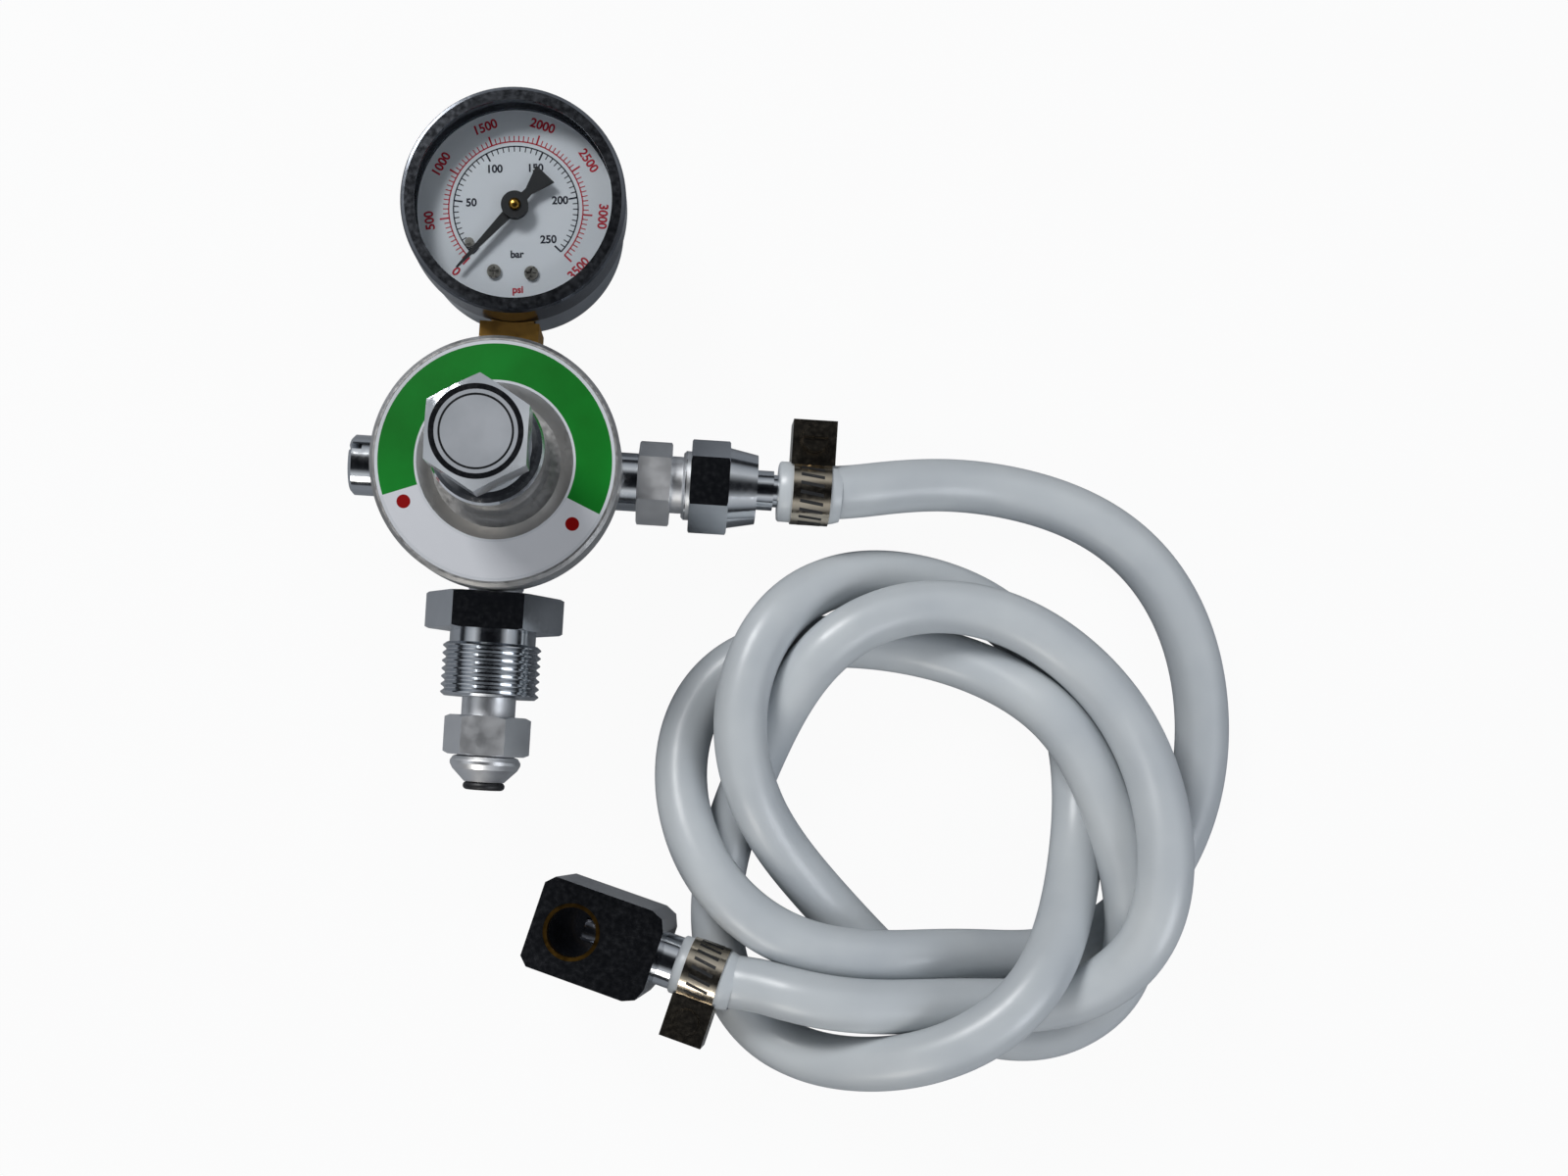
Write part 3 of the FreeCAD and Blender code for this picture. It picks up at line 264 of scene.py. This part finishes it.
steel = metal("steel", "#b9b7b2", "#98948c", 0.22, 0.14, strength=0.12)  # drawn wire and screws: grey
clampSteel = metal("clamp_steel", "#d2c8b8", "#a79c8a", 0.13, 0.1)  # rolled stainless strip: a warm mirror
aluminium = metal("aluminium", "#c4c6c8", "#aeb1b4", 0.3, 0.12)  # turned aluminium: pale and dull
dialPaint = matteSkin("dial_paint", "#f6f9fd", "#eef2f8", 0.5)  # baked enamel: flat, faintly blue white
redInk = matteSkin("red_ink", "#d02038", "#c41c34", 0.5)  # printing ink: flat red
darkInk = matteSkin("dark_ink", "#0c0f26", "#10132c", 0.5)  # printing ink: flat blue black
# The black matt material below also gives the painted shade in the clamp bands' slots, which are holes in
# the real band.
blackPaintAndSlotShade = matteSkin("black_paint_and_slot_shade", "#0b0c0e", "#14161a", 0.45)  # matt lacquer: black, no mirror
blackRubber = matteSkin("black_rubber", "#101113", "#1b1c1f", 0.4)  # moulded nitrile: a soft shine
hoseSkin = matteSkin("hose_skin", "#c5cacd", "#b7bdc2", 0.32, coat=0.25)  # extruded vinyl: a broad shine
gold = metal("gold", "#c59a4a", "#a98038", 0.2)  # polished brass: a small warm highlight
label = labelMaterial()
badge = badgeMaterial()
window = windowMaterial()

nodeMaterials = {
    chrome: [
        "body", "back_plug", "adjusting_knob", "gauge_case", "gas_nut",
        "union_nut", "hose_tail", "relief_cap", "block_tail",
    ],
    satinChrome: ["bonnet"],
    brushedChrome: ["inlet_nipple", "outlet_adapter"],
    darkChrome: ["gauge_bezel"],
    smokedChrome: ["connector_block"],
    brass: [
        "gauge_socket", "valve_nozzle", "valve_poppet", "spring_button", "bourdon_tube",
        "gauge_movement", "inlet_filter", "relief_poppet",
    ],
    oldBrass: ["port_ring"],
    clampSteel: [
        "clamp_band_upper", "clamp_housing_upper", "clamp_screw_upper", "clamp_band_lower",
        "clamp_housing_lower", "clamp_screw_lower",
    ],
    steel: [
        "main_spring", "poppet_spring", "relief_spring",
        "pointer_stop", "dial_screw_left", "dial_screw_right",
    ],
    aluminium: ["diaphragm_plate"],
    blackRubber: ["diaphragm", "nose_oring"],
    dialPaint: ["gauge_dial"],
    blackPaintAndSlotShade: ["gauge_pointer"],
    label: ["face_label"],
    badge: ["knob_badge"],
    window: ["gauge_window"],
}
for material, names in nodeMaterials.items():
    for name in names:
        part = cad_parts[name]
        part.data.materials.clear()
        part.data.materials.append(material)
print("materials")


# Meshes, as arrays of points in millimetres and of four-cornered faces

def showPiece(name, data, body):
    piece = bpy.data.objects.new(name, data)
    bpy.context.collection.objects.link(piece)
    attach(piece, body)
    return piece


def addPiece(name, points, faces, material, body, slotName, smooth=False):
    mesh = bpy.data.meshes.new(name)
    mesh.from_pydata((points * mm).tolist(), [], faces.tolist())
    mesh.materials.append(material)
    if smooth:
        mesh.shade_smooth()
    return showPiece(name, mesh, body)


def placed(points, place):
    # Each point is turned and shifted by the place's matrix.
    matrix = np.array(place)
    return points.reshape(-1, 3) @ matrix[:3, :3].T + matrix[:3, 3]


def gridFaces(rows, columns, closed):
    # One face for each cell of the grid. A closed grid joins its last column to its first.
    row, column = np.mgrid[:rows - 1, :columns if closed else columns - 1]
    low = row * columns
    high = low + columns
    after = (column + 1) % columns
    return np.stack([low + column, low + after, high + after, high + column], axis=-1).reshape(-1, 4)


def lathe(profile, place, segments=64):
    # Each radius and height of the profile goes round the place's Z axis:
    # radius times cos t, radius times sin t, height.
    radius, height = np.array(profile).T[:, :, None]
    turn = np.linspace(0, 2 * math.pi, segments, endpoint=False)
    rings = np.stack([radius * np.cos(turn), radius * np.sin(turn), height + 0 * turn], axis=-1)
    return placed(rings, place), gridFaces(len(profile), segments, True)


# The hose, from the outlet through the coil to the block

hoseSettings = {
    "radius": 6.25,
    "start": (64.4, 0.0, 17.0),
    "coilMiddle": (101.2, -73.7),
    "straight": 14.0,  # the last stretch, straight out of the block
    "between": 3,  # points of the curve from one control point to the next
    "roundness": 8,
}
leadPoints = [
    (78.0, 0.2, 17.0), (91.0, 3.0, 16.5), (107.0, 6.0, 14.2), (127.0, 3.9, 10.2),
    (147.0, -3.0, 7.0), (159.5, -16.0, 6.3), (167.0, -30.0, 6.3),
    (170.0, -46.0, 6.3), (170.3, -60.0, 6.3), (168.0, -72.0, 6.3),
]
# Clockwise through the coil, each as clock angle and radius about the coil's middle, and height
coilPoints = [
    # first turn, on the floor, then up over the lowest crossing
    (97, 63.3, 6.3), (110, 58.4, 6.3), (121, 53.6, 6.3), (131, 48.6, 6.5), (140, 42.5, 9.5),
    (149, 36.6, 14.5), (166, 33.4, 18.8), (190, 33.6, 18.8), (208, 38.0, 18.8), (225, 42.6, 18.8),
    (239, 46.5, 18.8), (251, 49.8, 18.8), (260, 52.6, 18.8), (269, 54.4, 18.8), (278, 55.7, 18.6),
    (287, 56.6, 14.5), (295, 57.0, 9.0), (304, 56.4, 6.3), (315, 52.8, 6.3),
    # second turn, highest at the right
    (327, 47.0, 6.3), (342, 42.2, 6.3), (0, 39.5, 6.3), (22, 38.4, 6.3), (38, 39.0, 7.5),
    (52, 40.3, 12.0), (66, 41.4, 19.5), (82, 43.3, 28.0), (95, 47.6, 31.3), (106, 52.3, 31.3),
    (115, 57.0, 27.5), (124, 61.8, 19.5), (132, 64.2, 11.5), (141, 63.5, 6.8), (150, 60.3, 6.3),
    (158, 54.8, 6.3), (168, 46.9, 6.3), (180, 38.8, 6.3), (197, 32.5, 6.3), (219, 28.8, 7.5),
    # third turn, up the left side and down under the top strands
    (240, 29.4, 13.0), (257, 33.4, 17.8), (278, 40.4, 18.8), (292, 45.9, 18.8), (304, 50.2, 18.8),
    (314, 54.0, 18.8), (324, 57.2, 18.8), (334, 58.6, 18.8), (344, 58.3, 18.8), (354, 56.4, 18.4),
    (5, 54.6, 14.0), (16, 53.2, 8.5), (27, 51.2, 6.3), (39, 48.4, 6.3), (51, 45.5, 6.3),
    (64, 43.0, 6.3), (74, 41.5, 6.3), (84, 40.4, 7.2), (96, 39.4, 12.0), (110, 39.4, 17.8),
    (127, 42.0, 18.8), (142, 45.1, 18.8), (156, 48.8, 18.8), (172, 53.1, 18.8), (184, 57.0, 18.8),
    (193, 59.7, 17.0), (201, 62.0, 12.0), (209, 63.4, 7.5), (217, 62.0, 6.3),
    # last turn, low on the left, then over the top to the block
    (226, 58.0, 6.3), (235, 53.8, 6.3), (243, 50.2, 6.3), (252, 46.4, 6.3), (263, 42.5, 6.3),
    (275, 39.6, 6.3), (288, 38.5, 7.2), (302, 38.9, 12.0), (318, 42.4, 17.8), (332, 45.2, 18.8),
    (346, 47.4, 18.8), (359, 48.9, 18.8), (12, 50.0, 18.8), (24, 50.8, 18.8), (37, 51.4, 18.8),
    (50, 51.9, 18.8), (63, 52.9, 18.8), (76, 53.6, 18.8), (87, 53.9, 18.8), (97, 54.8, 17.4),
    (107, 56.4, 12.5), (117, 57.6, 7.5), (127, 57.2, 6.3), (137, 54.8, 6.5), (147, 50.6, 10.0),
    (156, 46.2, 15.0), (166, 43.4, 18.4), (177, 43.8, 19.0), (192, 45.8, 19.4), (206, 48.4, 20.0),
    (218, 52.4, 19.8),
]


def coilPlace(clock, radius, height):
    turn = math.radians(clock)
    x, y = hoseSettings["coilMiddle"]
    return (x + radius * math.sin(turn), y + radius * math.cos(turn), height)


# The block's place, tilted up towards its hose and resting on its lower edge
blockSettings = {
    "middle": (29.8, -106.9),
    "yaw": -15.1,
    "tilt": 8.0,
    "length": 29.6,
    "height": 24.8,
    "neck": 4.0,  # from the block's face to the hose's cut end
}
blockTilt = math.radians(blockSettings["tilt"])
blockFoot = blockSettings["length"] * math.sin(blockTilt)
blockRise = (blockSettings["height"] * math.cos(blockTilt) + blockFoot) / 2
blockPlace = (
    Matrix.Translation((*blockSettings["middle"], blockRise))
    @ Matrix.Rotation(math.radians(blockSettings["yaw"]), 4, "Z")
    @ Matrix.Rotation(-blockTilt, 4, "Y")
)
hoseFace = blockSettings["length"] / 2 + blockSettings["neck"]
endPoints = [
    tuple(blockPlace @ Vector((hoseFace + out, 0, 0))) for out in (hoseSettings["straight"], 0.0)
]
coilRoute = [coilPlace(*point) for point in coilPoints]
routePoints = [hoseSettings["start"]] + leadPoints + coilRoute + endPoints

# The points above set the route from above and which strand is on top. The loop below sets the heights.
settleSettings = {
    "step": 5.0,
    "samples": 8,  # to each quadratic piece
    "touch": 12.55,  # the hose's width and a hair, between the middles of two strands that touch
    "sameStrand": 8,  # points closer than this along the hose aren't a crossing
    "planRounds": 100,
    "planPush": (0.5, -0.51),  # shares of smoothing in and out, so that the loops don't shrink
    "rounds": 3000,
    "bend": 0.06,  # how strongly a bend in height evens out in one round
    "pull": 0.003,  # how far the hose sinks in one round
    "held": 4,  # points that keep their place at either end
    "floorGap": 0.05,
}


def evenPoints(points, step):
    # Quadratic pieces from middle to middle of the given points, then points one step apart on them.
    share = np.linspace(0, 1, settleSettings["samples"] + 1)[1:, None]
    middles = (points[:-1] + points[1:]) / 2
    start, here, end = middles[:-1, None], points[1:-1, None], middles[1:, None]
    pieces = start * (1 - share) ** 2 + 2 * here * share * (1 - share) + end * share ** 2
    spots = np.concatenate([points[:1], pieces.reshape(-1, 3), points[-1:]])
    run = np.concatenate([[0], np.cumsum(np.linalg.norm(np.diff(spots, axis=0), axis=1))])
    marks = np.linspace(0, run[-1], int(round(run[-1] / step)) + 1)
    return np.stack([np.interp(marks, run, spots[:, axis]) for axis in range(3)], axis=1)


def easePlan(plan, held):
    # By turns, each point moves half-way to the middle of its neighbours, and a little further back.
    for share in settleSettings["planPush"] * settleSettings["planRounds"]:
        push = (plan[:-2] + plan[2:]) / 2 - plan[1:-1]
        push[:held] = 0
        push[-held:] = 0
        plan[1:-1] += share * push
    return plan


def crossingOrder(plan, heights):
    # Pairs of points that overlap from above are gathered into one patch for each crossing, whose
    # closest pair says which strand is on top. The rise between a pair lets the two strands touch.
    touch = settleSettings["touch"]
    apart = np.linalg.norm(plan[:, None] - plan[None], axis=2)
    patches = []
    for i, j in np.argwhere(apart < touch).tolist():
        if j - i <= settleSettings["sameStrand"]:
            continue
        beside = [
            patch for patch in patches
            if any(max(abs(i - one), abs(j - other)) <= 1 for one, other in patch)
        ]
        patches = [patch for patch in patches if patch not in beside]
        patches.append(sum(beside, []) + [(i, j)])
    pairs = []
    for patch in patches:
        i, j = min(patch, key=lambda pair: apart[pair])
        pairs += patch if heights[i] > heights[j] else [pair[::-1] for pair in patch]
    upper, lower = np.array(pairs).T
    return upper, lower, np.sqrt(touch ** 2 - apart[upper, lower] ** 2)


def settledPoints(points):
    # In each round the heights bend less, sink, and are lifted onto the floor and onto the strands below.
    held = settleSettings["held"]
    spots = evenPoints(np.array(points), settleSettings["step"])
    plan = easePlan(spots[:, :2].copy(), held)
    heights = spots[:, 2].copy()
    upper, lower, rise = crossingOrder(plan, heights)
    fixed = np.r_[:held, len(heights) - held:len(heights)]
    ends = heights[fixed]
    lowest = hoseSettings["radius"] + settleSettings["floorGap"]
    for turn in range(settleSettings["rounds"]):
        stress = heights[:-4] - 4 * heights[1:-3] + 6 * heights[2:-2] - 4 * heights[3:-1] + heights[4:]
        heights[2:-2] -= settleSettings["bend"] * stress
        heights = np.maximum(heights - settleSettings["pull"], lowest)
        heights[fixed] = ends
        for lift in range(2):  # twice, so that a lifted strand lifts the one on top of it
            np.maximum.at(heights, upper, heights[lower] + rise)
        heights[fixed] = ends
    return np.column_stack([plan, heights])


def makeHose():
    # A round section carried along a smooth curve near the settled points.
    hosePoints = settledPoints(routePoints)
    curve = bpy.data.curves.new("hose", "CURVE")
    curve.dimensions = "3D"
    spline = curve.splines.new("NURBS")
    spline.points.add(len(hosePoints) - 1)
    for point, spot in zip(spline.points, hosePoints):
        point.co = (*(Vector(spot) * mm), 1)
    spline.order_u = 3
    spline.use_endpoint_u = True
    spline.resolution_u = hoseSettings["between"]
    bare = bpy.data.objects.new("hose_line", curve)
    line = bpy.data.meshes.new_from_object(bare)
    spots = np.array([tuple(vertex.co) for vertex in line.vertices])
    length = float(np.linalg.norm(np.diff(spots, axis=0), axis=1).sum())
    bpy.data.objects.remove(bare)
    curve.bevel_depth = hoseSettings["radius"] * mm
    curve.bevel_resolution = hoseSettings["roundness"]
    curve.use_fill_caps = True
    curve.materials.append(hoseSkin)
    hose = showPiece("hose", curve, rootBody)
    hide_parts("hose_lead", "hose_coil", "hose_end")
    print("hose length", round(length, 3))
    return hose, length


hose, hoseLength = makeHose()

# The hose swells over its barb and ends in a cut face. Each point is a radius and a place along the hose.
sleeveProfile = [
    (3.2, 0.02), (6.6, 0.02), (7.0, 0.4), (7.02, 3.0),
    (7.0, 12.0), (6.75, 13.2), (6.3, 14.6),
]


def makeSleeve(name, place):
    points, faces = lathe(sleeveProfile, place)
    return addPiece(name, points, faces, hoseSkin, rootBody, "hose_grey", smooth=True)


alongX = Matrix.Rotation(math.pi / 2, 4, "Y")
makeSleeve("hose_sleeve_upper", Matrix.Translation(hoseSettings["start"]) @ alongX)
lowerSleeve = makeSleeve("hose_sleeve_lower", blockPlace @ Matrix.Translation((hoseFace, 0, 0)) @ alongX)
print("hose")


# The dial's print: two scales on arcs, each with its numbers and its unit

dialSettings = {
    "middle": (0.0, 59.6),
    "printGap": 0.03,
    "zero": 230.0,  # the angle of the scales' start, anticlockwise from +X
    "sweep": 270.0,
    "arcSteps": 96,
    "line": 0.3,
    "longWidth": 0.4,
    "shortWidth": 0.24,
    "longEvery": 10,
    "bold": 0.08,
    "upright": 5.0,
    "unitAngle": 275.0,
    "unitSize": 2.3,
    "capGap": 0.02,
}
dialLow, dialHigh = boxOf("gauge_dial")
dialFront = dialHigh[2] + dialSettings["printGap"]
psiScale = {
    "reach": 15.4, "outward": 1, "marks": 70, "longTick": 2.2, "shortTick": 1.3,
    "last": 7, "step": 500, "numberReach": 19.9, "numberSize": 2.9, "unitReach": 18.6,
}
barScale = {
    "reach": 14.3, "outward": -1, "marks": 50, "longTick": 2.0, "shortTick": 1.2,
    "last": 5, "step": 50, "numberReach": 10.3, "numberSize": 2.5, "unitReach": 10.5,
}


def scaleAngle(share):
    return dialSettings["zero"] - dialSettings["sweep"] * share


def dialPlace(reach, angle):
    # Points on the dial by reach and angle about its middle, for numbers or for arrays of them.
    turn = np.radians(angle)
    x, y = dialSettings["middle"]
    across = x + reach * np.cos(turn)
    return np.stack([across, y + reach * np.sin(turn), np.full_like(across, dialFront)], axis=-1)


def arcStrip(scale):
    # Two arcs, half a line's width inside and outside the scale's reach, joined across.
    steps = dialSettings["arcSteps"]
    angles = scaleAngle(np.linspace(0, 1, steps + 1))
    sides = scale["reach"] + np.array([[-0.5], [0.5]]) * dialSettings["line"]
    return dialPlace(sides, angles).reshape(-1, 3), gridFaces(2, steps + 1, False)


def tickMarks(scale):
    # A stroke of even width at each mark, from the arc outwards or inwards, longer and wider at every tenth.
    mark = np.arange(scale["marks"] + 1)
    isLong = mark % dialSettings["longEvery"] == 0
    near = np.full(len(mark), scale["reach"])
    far = near + scale["outward"] * np.where(isLong, scale["longTick"], scale["shortTick"])
    half = np.where(isLong, dialSettings["longWidth"], dialSettings["shortWidth"]) / 2
    reaches = np.sort([near, far], axis=0)[[0, 1, 1, 0]]
    sides = np.array([[-1], [-1], [1], [1]]) * np.degrees(half / reaches)
    points = dialPlace(reaches.T, (scaleAngle(mark / scale["marks"]) + sides).T).reshape(-1, 3)
    return points, np.arange(len(points)).reshape(-1, 4)


def addScale(name, scale, ink):
    arcPoints, arcFaces = arcStrip(scale)
    tickPoints, tickFaces = tickMarks(scale)
    points = np.concatenate([arcPoints, tickPoints])
    faces = np.concatenate([arcFaces, tickFaces + len(arcPoints)])
    addPiece(name, points, faces, ink, rootBody, "pointer_black")


def dialText(name, words, spot, size, turn, ink):
    curve = bpy.data.curves.new(name, "FONT")
    curve.body = words
    curve.size = size * mm
    curve.align_x = "CENTER"
    curve.align_y = "CENTER"
    curve.offset = dialSettings["bold"] * mm
    writing = bpy.data.objects.new(name, curve)
    mesh = bpy.data.meshes.new_from_object(writing)
    bpy.data.objects.remove(writing)
    mesh.transform(Matrix.Translation(Vector(spot) * mm) @ Matrix.Rotation(math.radians(turn), 4, "Z"))
    mesh.materials.clear()
    mesh.materials.append(ink)
    showPiece(name, mesh, rootBody)


def makeDialPrint():
    # The outer numbers stand along the arc, and the first and last turn their feet outwards.
    addScale("dial_print_outer", psiScale, redInk)
    addScale("dial_print_inner", barScale, darkInk)
    for step in range(psiScale["last"] + 1):
        angle = scaleAngle(step / psiScale["last"])
        words = str(step * psiScale["step"])
        turn = angle + 90 if step in (0, psiScale["last"]) else angle - 90
        spot = dialPlace(psiScale["numberReach"], angle)
        dialText("dial_psi_" + words, words, spot, psiScale["numberSize"], turn, redInk)
    for step in range(1, barScale["last"] + 1):
        words = str(step * barScale["step"])
        spot = dialPlace(barScale["numberReach"], scaleAngle(step / barScale["last"]))
        size = barScale["numberSize"]
        dialText("dial_bar_" + words, words, spot, size, dialSettings["upright"], darkInk)
    for unit, scale, ink in (("psi", psiScale, redInk), ("bar", barScale, darkInk)):
        spot = dialPlace(scale["unitReach"], dialSettings["unitAngle"])
        dialText("dial_unit_" + unit, unit, spot, dialSettings["unitSize"], dialSettings["upright"], ink)


makeDialPrint()

# The domed middle of the pointer's hub, as radius and height over it
capProfile = [(1.35, 0.0), (1.35, 0.35), (1.0, 0.6), (0.5, 0.75), (0.01, 0.8)]
pointerLow, pointerHigh = boxOf("gauge_pointer")
capFoot = pointerHigh[2] + dialSettings["capGap"]
capPlace = Matrix.Translation((*dialSettings["middle"], capFoot))
addPiece("pointer_cap", *lathe(capProfile, capPlace, 40), gold, "pointer", "brass_plain", smooth=True)
print("dial")


# The adapter's thread where it shows behind the union nut, and painted shade in the slots across the clamp
# bands

threadSettings = {
    "behindNut": 1.5,
    "turns": 1,
    "pitch": 1.0,
    "crest": 8.03,
    "depth": 0.5,
    "flat": (0.4, 0.6),  # where a crest begins and ends, in pitches
    "segments": 72,
}
slotSettings = {
    "count": 22,
    "radius": 7.49,
    "half": 2.7,
    "width": 0.8,
    "slant": 3.0,
    "lowerFromFace": 6.8,  # the lower clamp's middle, from the hose's cut end
}


def makeThread(name, place, start):
    # A crest with slanted flanks for each turn, carried round the place's axis.
    crest = threadSettings["crest"]
    root = crest - threadSettings["depth"]
    rise, fall = threadSettings["flat"]
    profile = []
    for turn in range(threadSettings["turns"]):
        steps = ((root, turn), (crest, turn + rise), (crest, turn + fall))
        profile += [(radius, start + along * threadSettings["pitch"]) for radius, along in steps]
    profile.append((root, start + threadSettings["turns"] * threadSettings["pitch"]))
    points, faces = lathe(profile, place, threadSettings["segments"])
    addPiece(name, points, faces, chrome, rootBody, "chrome_plate")


def makeBandSlotShade(name, place):
    # Narrow slanted windows for the worm, as dark inlays with four corners on the band's round face: painted
    # shade standing for the shadowed hollow of each slot.
    radius = slotSettings["radius"]
    middle = np.linspace(0, 360, slotSettings["count"], endpoint=False)[:, None]
    ends = np.array([-1, 1, 1, -1])
    sides = np.array([-1, -1, 1, 1]) * slotSettings["width"] / 2 / radius
    turn = np.radians(middle + ends * slotSettings["slant"]) + sides
    along = slotSettings["half"] * ends + 0 * turn
    spots = np.stack([along, radius * np.cos(turn), radius * np.sin(turn)], axis=-1)
    faces = np.arange(spots.shape[0] * 4).reshape(-1, 4)
    addPiece(name, placed(spots, place), faces, blackPaintAndSlotShade, rootBody, "clamp_steel")


axisHeight = hoseSettings["start"][2]
bandLow, bandHigh = boxOf("clamp_band_upper")
upperMiddle = (bandLow[0] + bandHigh[0]) / 2
nutLow, nutHigh = boxOf("union_nut")
threadStart = nutLow[0] - threadSettings["behindNut"]
lowerMiddle = hoseFace + slotSettings["lowerFromFace"]
makeThread("outlet_thread", Matrix.Translation((0, 0, axisHeight)) @ alongX, threadStart)
makeBandSlotShade("band_slot_shade_upper", Matrix.Translation((upperMiddle, 0, axisHeight)))
makeBandSlotShade("band_slot_shade_lower", blockPlace @ Matrix.Translation((lowerMiddle, 0, 0)))
print("fittings")


# The floor: paper that shows white to the camera and a mid grey in what the metal mirrors

floorSettings = {
    "half": 2000.0,
    "drop": 0.2,
    "glow": 1.02,
    "glowShare": 0.93,  # the rest keeps the object's shadow
}
floorMaterial = newMaterial("floor_paper")
paper = mottle(floorMaterial, grainSettings["paperCloud"], "#8e9195", "#999ca0")
matte = addNode(floorMaterial, "BsdfDiffuse", {"Color": paper})
glow = addNode(floorMaterial, "Emission", {"Color": linear("#ffffff"), "Strength": floorSettings["glow"]})
seen = addNode(floorMaterial, "LightPath", output="Is Camera Ray")
glowPart = addNode(floorMaterial, "Math", {0: seen, 1: floorSettings["glowShare"]}, operation="MULTIPLY")
sheet = addNode(floorMaterial, "MixShader", {0: glowPart, 1: matte, 2: glow})
addNode(floorMaterial, "OutputMaterial", {0: sheet})
floorMesh = bpy.data.meshes.new("floor")
floorCorners = [
    Vector((x * floorSettings["half"], y * floorSettings["half"], -floorSettings["drop"])) * mm
    for x, y in ((-1, -1), (1, -1), (1, 1), (-1, 1))
]
floorMesh.from_pydata(floorCorners, [], [(0, 1, 2, 3)])
floorMesh.materials.append(floorMaterial)
floor = bpy.data.objects.new("floor", floorMesh)
bpy.context.collection.objects.link(floor)

# The lamps and the point they face are in metres, as name, place, size, watts and colour
lampAim = Vector((0.05, -0.02, 0.02))
lampSettings = [
    ("key", (-0.4, 0.5, 0.6), 0.3, 4.8, "#ffffff"),
    ("fill", (0.6, -0.35, 0.5), 0.35, 1.7, "#f4f8ff"),
    ("front", (-0.2, -0.65, 0.35), 0.25, 1.0, "#fffaf2"),
]
for name, spot, size, power, colour in lampSettings:
    lampData = bpy.data.lights.new(name, "AREA")
    lampData.energy = power
    lampData.size = size
    lampData.color = linear(colour)[:3]
    lamp = bpy.data.objects.new(name, lampData)
    lamp.location = spot
    lamp.rotation_euler = (lampAim - Vector(spot)).to_track_quat("-Z", "Y").to_euler()
    bpy.context.collection.objects.link(lamp)

# The sky that the metal mirrors: bands of dark and light from the horizon to straight up
skySettings = {
    "strength": 0.75,
    "bands": [
        (0.0, "#4a4d52"), (0.2, "#1c1d20"), (0.42, "#b9bec4"),
        (0.72, "#eef1f4"), (0.9, "#2c2e32"), (1.0, "#141518"),
    ],
}
world = bpy.data.worlds.new("sky")
world.use_nodes = True
world.node_tree.nodes.clear()
bpy.context.scene.world = world
direction = addNode(world, "TexCoord", output="Generated")
skyHeight = addNode(world, "SeparateXYZ", {0: direction}, "Z")
skyColour = addNode(world, "ValToRGB", {0: skyHeight})
bandRamp = skyColour.node.color_ramp
for stop, colour in skySettings["bands"][1:-1]:
    bandRamp.elements.new(stop)
for element, (stop, colour) in zip(bandRamp.elements, skySettings["bands"]):
    element.position = stop
    element.color = linear(colour)
background = addNode(world, "Background", {"Color": skyColour, "Strength": skySettings["strength"]})
addNode(world, "OutputWorld", {0: background})

bpy.context.scene.view_settings.view_transform = "Standard"
bpy.context.view_layer.update()
print("stage")
